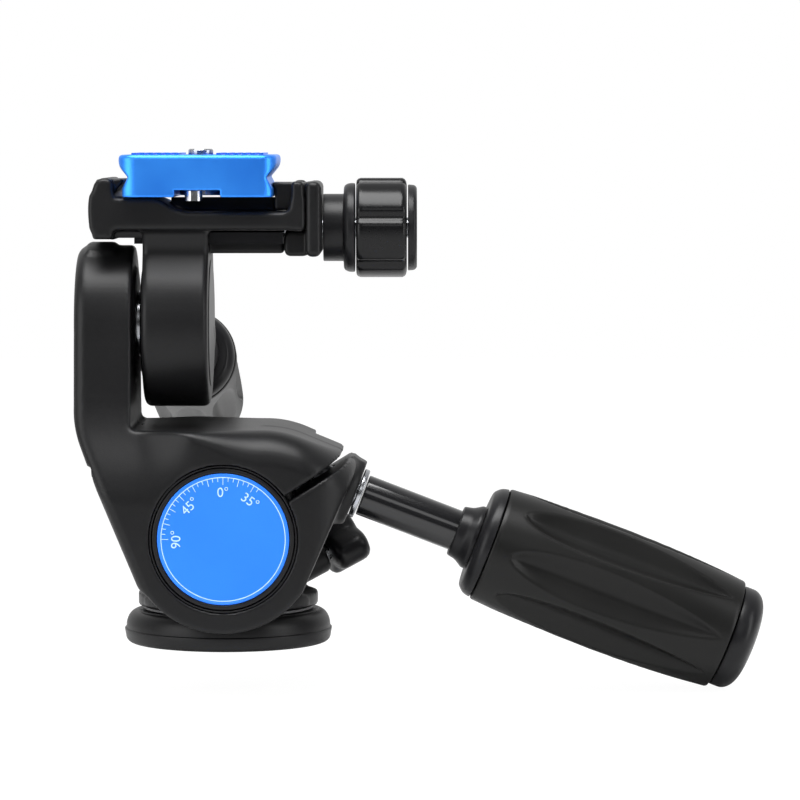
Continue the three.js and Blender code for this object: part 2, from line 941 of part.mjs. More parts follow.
function gripRubber({ slim, belly }) {
  const rings = 6;
  const tail = gripTailRadius - slim;
  const rim = gripRimRadius - slim;
  const profile = [[tail - gripWall, gripLength]];
  for (let i = rings; i >= 0; i -= 1) {
    const share = i / rings;
    const swell = belly * Math.sin(Math.PI * share);
    profile.push([rim + (tail - rim) * share + swell, gripLength * share]);
  }
  profile.push([tail - gripWall, 0]);
  return turned(profile, 40, (angle, radius, height) => (
    radius > tail - gap ? scooped(angle, radius, height) : radius
  ));
}

function gripCore({ slim }) {
  const front = -shoulderLength - gap;
  const shoulder = shoulderRadius - slim;
  const rim = gripRimRadius - slim;
  const coreRadius = gripTailRadius - slim - gripWall - gap;
  return turned([
    [coreBore, front],
    [shoulder, front],
    [
      shoulder + (rim - shoulder) * shoulderFlareShare,
      front + shoulderLength * shoulderRiseShare,
    ],
    [rim - gap, -gap],
    [coreRadius, -gap],
    [coreRadius, gripLength],
    [coreBore, gripLength],
  ], 24);
}

function gripCollar() {
  const seat = -shoulderLength - gap * 2;
  const front = seat - collarLength;
  return turned([
    [shaftBore, front],
    [collarTipRadius, front],
    ...collarShares.map(([flare, along]) => [
      collarTipRadius + (collarRadius - collarTipRadius) * flare,
      front + collarLength * along,
    ]),
    [collarRadius, seat],
    [coreBore - gap, seat],
    [coreBore - gap, seat + collarSeat],
    [shaftBore, seat + collarSeat],
  ], 28);
}

function gripCap({ slim }) {
  const start = gripLength + gap;
  const widest = capRadius - slim;
  const dome = [];
  for (let i = 0; i <= 4; i += 1) {
    const angle = (i / 4) * (Math.PI / 2);
    dome.push([
      widest * Math.cos(angle) ** 0.5,
      start + capDome * (capEdgeShare + (1 - capEdgeShare) * Math.sin(angle)),
    ]);
  }
  dome[dome.length - 1][0] = 0;
  return turned([[0, start], [widest, start], ...dome], 28);
}

function handleShaft(washerTop, rimAt, reach) {
  const start = washerTop + gap;
  return turned([
    [0, start],
    [shaftRadius, start],
    [shaftRadius, rimAt + reach - stopLength - gap],
    [shaftRadius - gap, rimAt + reach - stopLength],
    [0, rimAt + reach - stopLength],
  ], 28);
}

function shaftStop(rimAt, reach) {
  const end = rimAt + reach;
  return rod(stopRadius, end - stopLength + gap, end + gap, 24);
}

function handleWasher(seat) {
  return ring(
    handleScrewRadius + gap,
    handleWasherRadius,
    seat + gap,
    seat + gap + handleWasherThickness,
    28,
  );
}

function handleParts(line, prefix, seat, rimAt, reach, screwFrom, girth) {
  const washerTop = seat + gap + handleWasherThickness;
  piece(line, `${prefix}_washer`, handleWasher(seat), steel());
  piece(line, `${prefix}_screw`, rod(handleScrewRadius, screwFrom, washerTop, 24), steel());
  piece(line, `${prefix}_shaft`, handleShaft(washerTop, rimAt, reach), blackSteel());
  piece(line, `${prefix}_shaft_stop`, shaftStop(rimAt, reach), nylon());
  const grip = new THREE.Group();
  grip.position.z = rimAt;
  line.add(grip);
  piece(grip, `${prefix}_collar`, gripCollar(), plasticBlack());
  piece(grip, `${prefix}_grip_core`, gripCore(girth), plasticBlack());
  piece(grip, `${prefix}_grip_rubber`, gripRubber(girth), rubberBlack());
  piece(grip, `${prefix}_grip_cap`, gripCap(girth), plasticBlack());
}

handleParts(
  handleLine,
  'tilt',
  noseEnd,
  tiltRimAt,
  shaftEngaged,
  -handleScrewTail,
  tiltGirth,
);

// Lateral spindle in the column's head
function alongLateral(geometry) {
  return turnToX(geometry).translate(0, 0, lateralHeight);
}

const spindleEnd = legRight - hubCapPlug + gap;
piece(
  head,
  'lateral_spindle',
  alongLateral(rod(lateralSpindleRadius, -columnOuter + spindleCapDepth + gap, spindleEnd - gap)),
  steel(),
);
piece(
  head,
  'spindle_washer',
  alongLateral(ring(
    lateralSpindleRadius + gap,
    lateralWasherRadius,
    -columnInner + columnBossLength + gap,
    legLeft - legBossLength - gap,
    28,
  )),
  steel(),
);
piece(
  head,
  'spindle_cap',
  alongLateral(rod(spindleCapRadius, -columnOuter + gap, -columnOuter + spindleCapDepth - gap / 2)),
  plasticBlack(),
);

// Platform casting: clamp body, leg and hub in one piece
const lateralLine = new THREE.Group();
lateralLine.position.set((legLeft + legRight) / 2, 0, lateralHeight);
lateralLine.rotation.x = radians(-90 - lateralHandleDrop);
lateralLine.updateMatrixWorld();
head.add(lateralLine);

function platformOutline() {
  return filleted([
    [platformLeft + leftFootInset, footBottom, gap],
    [footRight, footBottom, gap],
    [footRight + platformRound, platformBottom],
    [platformRight, platformBottom, gap],
    [platformRight, postTop, platformRound],
    [postLeft, postTop, platformRound],
    [postLeft, reliefFloor, gap],
    [reliefRight, reliefFloor, platformRound],
    [reliefLeft, clampFloor, platformRound],
    [plateCentre - plateFootHalf - gap, clampFloor],
    [plateCentre - plateFootHalf - gap, plateFootTop],
    [plateCentre - plateWaistHalf - gap * 2, plateWaist - gap],
    [plateCentre - plateWaistHalf - leftJawRound, leftJawTop, gap],
    [platformLeft + leftTopInset, leftJawTop, leftJawRound],
    [platformLeft, lateralHeight + leftBulgeRise, leftBulgeRound],
  ]);
}

function legSection() {
  const waist = waistRise;
  const top = platformBottom + overrun / 2 - lateralHeight;
  const hub = arc(hubRadius, 141, 399, 24);
  return [
    ...hub,
    [waistHalf, waist],
    [waistHalf, waist + gap],
    [platformHalf - platformRound, top],
    [platformRound - platformHalf, top],
    [-waistHalf, waist + gap],
    [-waistHalf, waist],
  ];
}

function platformBracket() {
  const wide = hubRadius * 4;
  const casting = solid(alongY(platformOutline(), -platformHalf, platformHalf));
  const leg = solid(alongX(legSection(), legLeft, legRight).translate(0, 0, lateralHeight));
  const nose = solid(turned([
    [0, 0],
    [lateralNoseRadius, 0],
    [lateralNoseRadius, lateralNoseEnd - gap],
    [lateralNoseRadius - gap, lateralNoseEnd],
    [0, lateralNoseEnd],
  ], 24).applyMatrix4(lateralLine.matrixWorld));
  const spindleBore = solid(alongLateral(rod(
    lateralSpindleRadius + gap,
    -wide,
    wide,
    24,
  )));
  const handleBore = solid(rod(handleScrewRadius + gap, 0, wide, 24)
    .applyMatrix4(lateralLine.matrixWorld));
  const postGap = solid(alongX([
    [-postInner, tongueBottom - gap],
    [postInner, tongueBottom - gap],
    [postInner, postTop + overrun],
    [-postInner, postTop + overrun],
  ], plateCentre + plateFootHalf, jawRight));
  const barSpace = solid(alongX([
    [barNear - gap, barBottom - gap],
    [barFar + gap, barBottom - gap],
    [barFar + gap, barTop + gap],
    [barNear - gap, barTop + gap],
  ], -wide, wide));
  const screwBore = solid(turnToX(rod(clampScrewRadius + gap, clampScrewLeft - gap, wide, 24))
    .translate(0, 0, clampHeight));
  const boss = solid(alongX([
    [-bossHalf, bossBottom],
    [bossHalf, bossBottom],
    [bossHalf, platformBottom + platformRound],
    [-bossHalf, platformBottom + platformRound],
  ], legRight - platformRound, hookLeft - gap));
  const web = solid(alongX([
    [-reliefWebHalf, reliefFloor - gap],
    [reliefWebHalf, reliefFloor - gap],
    [reliefWebHalf, clampFloor],
    [-reliefWebHalf, clampFloor],
  ], reliefLeft, lipLeft - gap));
  const legBoss = solid(alongLateral(rod(
    pivotBossRadius,
    legLeft - legBossLength,
    legLeft + gap,
    32,
  )));
  const deckRib = solid(alongX([
    [-deckRibHalf, deckRibBottom],
    [deckRibHalf, deckRibBottom],
    [deckRibHalf, platformBottom + gap],
    [-deckRibHalf, platformBottom + gap],
  ], footRight - gap, legLeft + gap));
  return shell(casting
    .add(leg)
    .add(legBoss)
    .add(deckRib)
    .add(nose)
    .add(boss)
    .add(web)
    .subtract(spindleBore)
    .subtract(handleBore)
    .subtract(postGap)
    .subtract(barSpace)
    .subtract(screwBore));
}

function hubCap() {
  const face = legRight + gap;
  return alongLateral(turned([
    [0, legRight - hubCapPlug + gap],
    [lateralSpindleRadius, legRight - hubCapPlug + gap],
    [lateralSpindleRadius, face],
    [hubCapRadius, face],
    [hubCapRadius, face + hubCapHeight / 2],
    [hubCapRadius - hubCapHeight, face + hubCapHeight],
    [0, face + hubCapHeight + hubCapCrown],
  ], 36));
}

piece(head, 'platform_bracket', platformBracket(), castBlack());
piece(head, 'hub_cap', hubCap(), plasticBlack());
piece(
  lateralLine,
  'lateral_brake_shoe',
  rod(handleScrewRadius, brakeShoeTip, lateralScrewTip - gap, 24),
  brass(),
);
handleParts(
  lateralLine,
  'lateral',
  lateralNoseEnd,
  lateralRimAt,
  shaftEngaged + gripTravel,
  lateralScrewTip,
  lateralGirth,
);

// Moving jaw, its hook and guide bar
function movingJaw() {
  const outer = solid(alongX([
    [-platformHalf, jawBottom],
    [platformHalf, jawBottom],
    [platformHalf, jawTop],
    [-platformHalf, jawTop],
  ], jawLeft, jawRight));
  const tongue = solid(alongY([
    [lipLeft, tongueBottom],
    [jawLeft + gap, tongueBottom],
    [jawLeft + gap, jawTop - gap],
    [lipTopLeft, jawTop - gap],
    [lipLeft, lipBendHeight],
  ], -tongueHalf, tongueHalf));
  const hook = solid(alongY([
    [hookLeft, jawBottom],
    [jawLeft + gap, jawBottom],
    [jawLeft + gap, hookTop],
    [hookLeft, hookTop],
  ], -hookHalf, hookHalf));
  const bore = solid(turnToX(rod(clampScrewRadius + gap, 0, jawRight * 2, 24))
    .translate(0, 0, clampHeight));
  return shell(outer.add(tongue).add(hook).subtract(bore));
}

function guideBar() {
  return alongX([
    [barNear, barBottom],
    [barFar, barBottom],
    [barFar, barTop],
    [barNear, barTop],
  ], barLeft, hookLeft - gap);
}

piece(head, 'moving_jaw', movingJaw(), castBlack());
piece(head, 'guide_bar', guideBar(), blackSteel());

// Clamp knob and its screw
const neckStart = jawRight + gap;
const flangeStart = jawRight + neckLength;
const bodyStart = flangeStart + flangeKnobLength;
const bodyEnd = bodyStart + clampKnobLength;
const clampEnd = bodyEnd + clampCapLength;

function onClampLine(geometry) {
  return turnToX(geometry).translate(0, 0, clampHeight);
}

function clampNeck() {
  return onClampLine(turned([
    [knobBore, neckStart],
    [neckRadius, neckStart],
    [neckRadius, flangeStart],
    [flangeKnobRadius, flangeStart],
    [flangeKnobRadius, bodyStart - gap],
    [knobBore, bodyStart - gap],
  ], 28));
}

function clampKnob() {
  const round = clampKnobRound;
  const reshape = lobes(6, clampKnobGroove, bodyStart, bodyEnd);
  return onClampLine(turned([
    [knobBore, bodyStart],
    [clampKnobRadius - round, bodyStart],
    [clampKnobRadius, bodyStart + round],
    [clampKnobRadius, bodyEnd - round],
    [clampKnobRadius - round, bodyEnd - gap],
    [knobBore, bodyEnd - gap],
  ], 54, (angle, radius, height) => (
    radius > clampKnobRadius / 2 ? reshape(angle, radius, height) : radius
  )));
}

function clampCap() {
  return onClampLine(turned([
    [knobBore, bodyEnd],
    [clampCapRadius, bodyEnd],
    [clampCapRadius - gap, clampEnd - gap * 2],
    [clampCapRadius - gap * 3, clampEnd],
    [0, clampEnd],
    [0, bodyEnd + clampCapLength / 2],
    [knobBore, bodyEnd + clampCapLength / 2],
  ], 28));
}

piece(
  head,
  'clamp_screw',
  onClampLine(rod(clampScrewRadius, clampScrewLeft, bodyEnd + clampCapLength / 2 - gap, 24)),
  steel(),
);
piece(head, 'clamp_knob_neck', clampNeck(), plasticBlack());
piece(head, 'clamp_knob', clampKnob(), plasticBlack());
piece(head, 'clamp_knob_cap', clampCap(), plasticBlack());

// Quick-release plate with its camera screw and stops
function plateOutline() {
  return [
    [plateCentre - plateFootHalf, plateBottom],
    [plateCentre + plateFootHalf, plateBottom],
    [plateCentre + plateFootHalf, plateFootTop],
    [plateCentre + plateWaistHalf, plateWaist],
    [plateCentre + plateHalf, plateShoulder],
    [plateCentre + plateHalf, plateTop - gap],
    [plateCentre + plateHalf - gap, plateTop],
    [plateCentre - plateHalf + gap, plateTop],
    [plateCentre - plateHalf, plateTop - gap],
    [plateCentre - plateHalf, plateShoulder],
    [plateCentre - plateWaistHalf, plateWaist],
    [plateCentre - plateFootHalf, plateFootTop],
  ];
}

function platePlan() {
  const left = plateCentre - plateHalf - gap;
  const right = plateCentre + plateHalf + gap;
  return filleted([
    [left, -plateLengthHalf, plateCornerRadius],
    [right, -plateLengthHalf, plateCornerRadius],
    [right, plateLengthHalf, plateCornerRadius],
    [left, plateLengthHalf, plateCornerRadius],
  ], 5);
}

const stopX = plateCentre - stopScrewShift;
const stopTop = plateBottom + plateSlotDepth;
const cameraHeadBottom = plateBottom + cameraHeadLift;

function quickReleasePlate() {
  const block = solid(alongY(plateOutline(), -plateLengthHalf, plateLengthHalf))
    .intersect(solid(alongZ(platePlan(), plateBottom - overrun, plateTop + overrun)));
  const slot = solid(alongY([
    [plateCentre - plateSlotBottomHalf, plateBottom - overrun],
    [plateCentre + plateSlotBottomHalf, plateBottom - overrun],
    [plateCentre + plateSlotBottomHalf, stopTop],
    [plateCentre - plateSlotBottomHalf, stopTop],
  ], -plateLengthHalf - overrun, plateLengthHalf + overrun));
  const narrow = solid(alongZ(filleted([
    [plateCentre - plateSlotHalf, -plateSlotReach, plateSlotHalf],
    [plateCentre + plateSlotHalf, -plateSlotReach, plateSlotHalf],
    [plateCentre + plateSlotHalf, plateSlotReach, plateSlotHalf],
    [plateCentre - plateSlotHalf, plateSlotReach, plateSlotHalf],
  ], 4), plateBottom - overrun, plateTop + overrun));
  const pocketHalf = cameraHeadRadius + gap;
  const pocket = solid(alongZ(filleted([
    [plateCentre - pocketHalf, -platePocketReach, pocketHalf],
    [plateCentre + pocketHalf, -platePocketReach, pocketHalf],
    [plateCentre + pocketHalf, platePocketReach, pocketHalf],
    [plateCentre - pocketHalf, platePocketReach, pocketHalf],
  ], 4), plateBottom - overrun, cameraHeadBottom + cameraHeadHeight + gap));
  return shell(block.subtract(slot).subtract(narrow).subtract(pocket));
}

function plateRibs() {
  let ribs = null;
  const start = plateSlotHalf + plateRibInner;
  for (const side of [-1, 1]) {
    for (let i = 0; i < plateRibCount; i += 1) {
      const x = plateCentre + side * (start + i * plateRibPitch);
      const rib = solid(alongZ([
        [x - plateRibWidth / 2, plateRibInset - plateLengthHalf],
        [x + plateRibWidth / 2, plateRibInset - plateLengthHalf],
        [x + plateRibWidth / 2, plateLengthHalf - plateRibInset],
        [x - plateRibWidth / 2, plateLengthHalf - plateRibInset],
      ], plateTop, plateTop + plateRibHeight));
      ribs = ribs ? ribs.add(rib) : rib;
    }
  }
  return ribs;
}

function plateWithRibs() {
  return shell(solid(quickReleasePlate()).add(plateRibs()));
}

function cameraScrew() {
  return turned([
    [0, cameraHeadBottom],
    [cameraHeadRadius, cameraHeadBottom],
    [cameraHeadRadius, cameraHeadBottom + cameraHeadHeight],
    [cameraScrewRadius, cameraHeadBottom + cameraHeadHeight],
    [cameraScrewRadius, plateTop + cameraScrewProud - gap],
    [cameraScrewRadius - gap, plateTop + cameraScrewProud],
    [0, plateTop + cameraScrewProud],
  ], 24).translate(plateCentre, 0, 0);
}

function stopScrews() {
  const y = plateLengthHalf - stopScrewInset;
  return rod(stopScrewRadius, stopTop + gap - stopScrewHeight, stopTop - gap / 2, 24)
    .translate(stopX, -y, 0);
}

piece(head, 'quick_release_plate', plateWithRibs(), anodisedBlue());
piece(head, 'camera_screw', cameraScrew(), steel());
piece(head, 'plate_stop_screw', stopScrews(), steel());

export default head;
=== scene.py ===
# %% [markdown]
# A three-way pan tilt head, dressed in Blender over its imported CAD model.
# The CAD model gives every place and size. Each visible piece is made again
# here with finer edges and hangs on an empty named for its moving body.
# All sizes below are real ones in millimetres, so that they can be read
# against a ruler. They become metres through MM.

# %% Frame
import json
import math
import bmesh
import bpy
from mathutils import Matrix, Vector


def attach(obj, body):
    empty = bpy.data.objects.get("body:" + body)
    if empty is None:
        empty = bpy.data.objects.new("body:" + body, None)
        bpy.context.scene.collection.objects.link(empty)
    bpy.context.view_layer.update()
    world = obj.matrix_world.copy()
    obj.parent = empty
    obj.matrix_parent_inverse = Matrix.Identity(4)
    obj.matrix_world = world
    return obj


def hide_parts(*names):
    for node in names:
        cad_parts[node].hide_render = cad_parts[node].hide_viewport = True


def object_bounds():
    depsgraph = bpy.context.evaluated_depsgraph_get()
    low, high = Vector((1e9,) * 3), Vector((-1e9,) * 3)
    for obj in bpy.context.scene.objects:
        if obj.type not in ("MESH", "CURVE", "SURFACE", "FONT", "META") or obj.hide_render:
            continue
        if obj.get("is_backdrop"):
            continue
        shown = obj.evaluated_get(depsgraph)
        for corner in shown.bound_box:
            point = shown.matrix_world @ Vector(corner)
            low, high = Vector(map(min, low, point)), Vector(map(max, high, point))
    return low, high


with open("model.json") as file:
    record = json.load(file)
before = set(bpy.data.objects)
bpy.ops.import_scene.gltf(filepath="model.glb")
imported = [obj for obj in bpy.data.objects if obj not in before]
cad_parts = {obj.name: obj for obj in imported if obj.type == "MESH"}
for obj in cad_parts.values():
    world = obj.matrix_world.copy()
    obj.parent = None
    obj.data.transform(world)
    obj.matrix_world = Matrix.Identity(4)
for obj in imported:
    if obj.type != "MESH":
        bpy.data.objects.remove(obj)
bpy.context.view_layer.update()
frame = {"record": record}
MM = 0.001


# %% [markdown]
# The camera stands a metre away and looks along the tilt axis with a long
# lens, a little from above, as the ellipses of the base and the hub say.

# %% Camera
CAMERA_X, CAMERA_AWAY, CAMERA_HEIGHT = 43.1, 1000.0, 126.0
AIM_HEIGHT = 60.5
FOCAL = 180.0


def make_camera():
    data = bpy.data.cameras.new("camera")
    data.lens = FOCAL
    data.sensor_width = 36.0
    camera = bpy.data.objects.new("camera", data)
    bpy.context.collection.objects.link(camera)
    place = Vector((CAMERA_X, -CAMERA_AWAY, CAMERA_HEIGHT)) * MM
    aim = Vector((CAMERA_X, 0.0, AIM_HEIGHT)) * MM
    turn = (aim - place).to_track_quat("-Z", "Y").to_matrix()
    camera.matrix_world = Matrix.Translation(place) @ turn.to_4x4()
    bpy.context.scene.camera = camera
    return camera


camera = make_camera()
print("camera at", [round(v, 3) for v in camera.matrix_world.translation])


# %% [markdown]
# Node maths is easier to read as sums. This small class wraps a socket of a
# node tree and turns + - * / into Math nodes, in a material as well as in
# Geometry Nodes. Every other node comes from one method, which sets the
# node's own settings first and then the values or links of its sockets.

# %% Sums on sockets
class Socket:
    """A socket of a sheet's tree that can be added, multiplied and so on."""

    def __init__(self, sheet, socket):
        self.sheet = sheet
        self.socket = socket

    def __add__(self, other):
        return self.sheet.sum("ADD", self, other)

    def __radd__(self, other):
        return self.sheet.sum("ADD", other, self)

    def __sub__(self, other):
        return self.sheet.sum("SUBTRACT", self, other)

    def __rsub__(self, other):
        return self.sheet.sum("SUBTRACT", other, self)

    def __mul__(self, other):
        return self.sheet.sum("MULTIPLY", self, other)

    def __rmul__(self, other):
        return self.sheet.sum("MULTIPLY", other, self)

    def __truediv__(self, other):
        return self.sheet.sum("DIVIDE", self, other)

    def __rtruediv__(self, other):
        return self.sheet.sum("DIVIDE", other, self)

    def __neg__(self):
        return self.sheet.sum("MULTIPLY", self, -1.0)

    def __abs__(self):
        return self.sheet.sum("ABSOLUTE", self)


# %% [markdown]
# A sheet holds the tree and makes its nodes. Colours are blended by a Mix
# node, because a Math node would turn them grey.

# %% Nodes from one method
class Sheet:
    def __init__(self, tree):
        self.tree = tree

    def node(self, kind, settings=None, inputs=None):
        node = self.tree.nodes.new(kind)
        for name, value in (settings or {}).items():
            setattr(node, name, value)
        for name, value in (inputs or {}).items():
            if isinstance(value, Socket):
                self.tree.links.new(value.socket, node.inputs[name])
            else:
                node.inputs[name].default_value = value
        return node

    def get(self, kind, settings=None, inputs=None, output=0):
        return Socket(self, self.node(kind, settings, inputs).outputs[output])

    def sum(self, operation, *values):
        inputs = dict(enumerate(values))
        return self.get("ShaderNodeMath", {"operation": operation}, inputs)

    def mix(self, share, first, second):
        inputs = {0: share, 6: first, 7: second}
        return self.get("ShaderNodeMix", {"data_type": "RGBA"}, inputs, 2)

    def split(self, vector):
        node = self.node("ShaderNodeSeparateXYZ", None, {0: vector})
        return [Socket(self, output) for output in node.outputs]


# %% [markdown]
# Cast aluminium parts of such a head wear a thin satin powder
# coat: nearly black, with a fine grain that breaks up the highlights and a
# roughness that drifts a little. Each finish below is one Principled shader
# whose colour, roughness and normal come from noise on Object coordinates,
# so that nothing slides when a piece moves.

# %% A finish from noise
def shader_sheet(name):
    material = bpy.data.materials.new(name)
    material.use_nodes = True
    tree = material.node_tree
    tree.nodes.clear()
    return material, Sheet(tree)


def noise(sheet, scale, detail, seed=0.0):
    place = sheet.get("ShaderNodeTexCoord", output="Object")
    values = {"Vector": place, "Scale": scale, "Detail": detail, "W": seed}
    return sheet.get("ShaderNodeTexNoise", {"noise_dimensions": "4D"}, values)


def surface(name, colour, worn, roughness, drift, grain, depth, fixed):
    """One finish: two colours, a roughness and its drift, and a grain's size and depth in mm."""
    material, sheet = shader_sheet(name)
    cloud = noise(sheet, 60.0, 3.0)
    fine = noise(sheet, 1.0 / (grain * MM), 2.0, 3.0)
    bump = sheet.get("ShaderNodeBump", None, {
        "Strength": 1.0, "Distance": depth * MM, "Height": fine})
    mixed = sheet.mix(cloud * fine * 2.0, (*colour, 1.0), (*worn, 1.0))
    rough = roughness + (cloud - 0.5) * drift + (fine - 0.5) * drift
    shader = sheet.get("ShaderNodeBsdfPrincipled", None, {
        "Base Color": mixed, "Roughness": rough, "Normal": bump, **fixed})
    sheet.node("ShaderNodeOutputMaterial", None, {0: shader})
    return material


# %% [markdown]
# The castings are the roughest black and the shafts the glossiest. Blue is
# an anodised metal on the plate and a paint on the dial. The steel, brass
# and nylon show only in gaps and below.

# %% Finishes
SATIN = {"Specular IOR Level": 0.2}
COATED = {"Specular IOR Level": 0.25, "Coat Weight": 0.5, "Coat Roughness": 0.08}
METAL = {"Metallic": 1.0}
FINISHES = {
    "cast_black": surface("powder_coat", (0.004, 0.004, 0.0045), (0.008, 0.008, 0.0085),
                          0.4, 0.1, 0.35, 0.012, SATIN),
    "plastic_black": surface("satin_plastic", (0.006, 0.006, 0.007), (0.01, 0.01, 0.011),
                             0.34, 0.08, 0.5, 0.004, SATIN),
    "gloss_black": surface("gloss_plastic", (0.004, 0.004, 0.0045), (0.006, 0.006, 0.0065),
                           0.22, 0.06, 0.7, 0.002, SATIN),
    "rubber_black": surface("moulded_rubber", (0.004, 0.004, 0.004), (0.008, 0.008, 0.0075),
                            0.38, 0.1, 0.3, 0.01, SATIN),
    "anodised_blue": surface("anodised_aluminium", (0.01, 0.15, 0.78), (0.05, 0.34, 1.0),
                             0.36, 0.16, 0.16, 0.02, {"Metallic": 0.75}),
    "dial_blue": surface("dial_paint", (0.006, 0.17, 0.93), (0.014, 0.21, 1.0),
                         0.42, 0.06, 0.2, 0.003, {"Metallic": 0.15}),
    "chrome_steel": surface("polished_steel", (0.42, 0.43, 0.45), (0.34, 0.35, 0.37),
                            0.24, 0.04, 0.5, 0.00005, METAL),
    "black_steel": surface("black_steel", (0.006, 0.006, 0.007), (0.012, 0.012, 0.013),
                           0.16, 0.05, 0.4, 0.001, COATED),
    "brass": surface("turned_brass", (0.6, 0.4, 0.13), (0.45, 0.29, 0.1),
                     0.28, 0.12, 0.3, 0.003, METAL),
    "nylon": surface("grey_nylon", (0.1, 0.1, 0.105), (0.14, 0.14, 0.145),
                     0.5, 0.1, 0.5, 0.003, SATIN),
    "white_ink": surface("white_ink", (0.45, 0.68, 1.0), (0.4, 0.62, 0.95),
                         0.5, 0.06, 0.3, 0.001, SATIN),
}
print("finishes", len(FINISHES))


# %% [markdown]
# Every CAD node first takes the finish of its material slot. The ones that a
# finer piece replaces later are hidden, and the rest keep this finish.

# %% Finish of the CAD nodes
NODE_SLOT = {part["node"]: part["material_slot"] for part in frame["record"]["subparts"]}
for node_name, slot_name in NODE_SLOT.items():
    node_mesh = bpy.data.objects[node_name].data
    node_mesh.materials.clear()
    node_mesh.materials.append(FINISHES[slot_name])
print("dressed nodes", len(NODE_SLOT))


# %% Making a piece
SHARP = math.radians(38)


def clean(mesh, smooth_to=SHARP):
    sheet = bmesh.new()
    sheet.from_mesh(mesh)
    bmesh.ops.remove_doubles(sheet, verts=sheet.verts, dist=0.002 * MM)
    bmesh.ops.recalc_face_normals(sheet, faces=sheet.faces)
    sheet.to_mesh(mesh)
    sheet.free()
    mesh.polygons.foreach_set("use_smooth", [True] * len(mesh.polygons))
    mesh.set_sharp_from_angle(angle=smooth_to)


def kept(name, mesh, body, replaces=()):
    thing = bpy.data.objects.new(name, mesh)
    bpy.context.collection.objects.link(thing)
    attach(thing, body)
    if replaces:
        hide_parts(*replaces)
    print(name, "faces", len(mesh.polygons))
    return thing


def piece(name, points, faces, body, slot, replaces=(), place=Matrix()):
    mesh = bpy.data.meshes.new(name)
    mesh.from_pydata([(place @ Vector(point)) * MM for point in points], [], faces)
    clean(mesh)
    mesh.materials.append(FINISHES[slot])
    return kept(name, mesh, body, replaces)


# %% [markdown]
# Two outlines serve most round pieces. One is turned about an axis, as on a
# lathe, and can be pressed in or out by a function of the angle. The other
# rounds the corners of an outline before it is turned, because no real edge
# is sharp and a rounded one catches a thin line of light.

# %% Turned and eased outlines
def turned(profile, sides=96, reshape=None):
    """Turn a closed profile of radius and height about Z. A radius of 0 closes as a pole."""
    points, faces, rings = [], [], []
    for radius, height in profile:
        if radius < 1e-6:
            rings.append([len(points)])
            points.append((0.0, 0.0, height))
            continue
        rings.append(list(range(len(points), len(points) + sides)))
        for side in range(sides):
            angle = 2 * math.pi * side / sides
            r = reshape(angle, radius, height) if reshape else radius
            points.append((r * math.cos(angle), r * math.sin(angle), height))
    for first, second in zip(rings, rings[1:] + rings[:1]):
        for side in range(sides):
            nxt = (side + 1) % sides
            if len(first) > 1 and len(second) > 1:
                faces.append((first[side], first[nxt], second[nxt], second[side]))
            elif len(first) > 1:
                faces.append((first[side], first[nxt], second[0]))
            elif len(second) > 1:
                faces.append((first[0], second[nxt], second[side]))
    return points, faces


EASE_STEPS = 5


def eased(corners):
    """Round each corner (x, y, radius) of a closed outline with a quadratic curve."""
    outline = []
    count = len(corners)
    for i, (x, y, *rest) in enumerate(corners):
        radius = rest[0] if rest else 0.0
        here = Vector((x, y))
        back = Vector(corners[i - 1][:2]) - here
        ahead = Vector(corners[(i + 1) % count][:2]) - here
        reach = min(radius, back.length / 2, ahead.length / 2)
        if reach <= 0:
            outline.append((x, y))
            continue
        start = here + back.normalized() * reach
        end = here + ahead.normalized() * reach
        for step in range(EASE_STEPS + 1):
            t = step / EASE_STEPS
            spot = start * (1 - t) ** 2 + here * 2 * t * (1 - t) + end * t * t
            outline.append((spot.x, spot.y))
    return outline


# %% [markdown]
# A piece on a tilted or level axis is modelled upright and then laid along
# it. The two handles point down by the angles below, and the pan lock knob
# points outwards and up.

# %% Axes
TILT_Z = 28.4
LATERAL_Z = 79.8
CLAMP_Z = 103.7
HANDLE_DROP = math.radians(21.1)
HANDLE_OFFSET = 19.9
LATERAL_DROP = math.radians(14.0)
LATERAL_HANDLE_X = -12.35
PAN_LOCK_TIP = (12.6, 15.4, 14.4)
PAN_LOCK_AZIMUTH = math.radians(22.0)
PAN_LOCK_RISE = math.radians(25.0)

ALONG_TILT = Matrix.Translation((0, 0, TILT_Z)) @ Matrix.Rotation(math.pi / 2, 4, "X")
ALONG_LATERAL = Matrix.Translation((0, 0, LATERAL_Z)) @ Matrix.Rotation(math.pi / 2, 4, "Y")
ALONG_CLAMP = Matrix.Translation((0, 0, CLAMP_Z)) @ Matrix.Rotation(math.pi / 2, 4, "Y")
HANDLE_FOOT = (HANDLE_OFFSET * math.sin(HANDLE_DROP), 0,
               TILT_Z + HANDLE_OFFSET * math.cos(HANDLE_DROP))
TILT_LINE = Matrix.Translation(HANDLE_FOOT) @ Matrix.Rotation(math.pi / 2 + HANDLE_DROP, 4, "Y")
LATERAL_LINE = (Matrix.Translation((LATERAL_HANDLE_X, 0, LATERAL_Z))
                @ Matrix.Rotation(-math.pi / 2 - LATERAL_DROP, 4, "X"))
PAN_LOCK_LINE = (Matrix.Translation(PAN_LOCK_TIP) @ Matrix.Rotation(PAN_LOCK_AZIMUTH, 4, "Z")
                 @ Matrix.Rotation(math.pi / 2 - PAN_LOCK_RISE, 4, "Y"))
print("tilt handle starts at", [round(v, 2) for v in HANDLE_FOOT])


# %% [markdown]
# Castings have soft edges and fillets everywhere, which bevels struggle
# with. A signed distance field does them well: it is a formula that says how
# far any point is from the surface, and shapes are joined by taking the
# smaller distance and cut by taking the larger one, with rounding built in.
# Geometry Nodes fill a block of volume with the formula and draw the surface
# where it is zero. The same idea could be carved with booleans and bevels,
# but those break where curved faces meet.

# %% Sums of distances
def low(a, b):
    return (a if isinstance(a, Socket) else b).sheet.sum("MINIMUM", a, b)


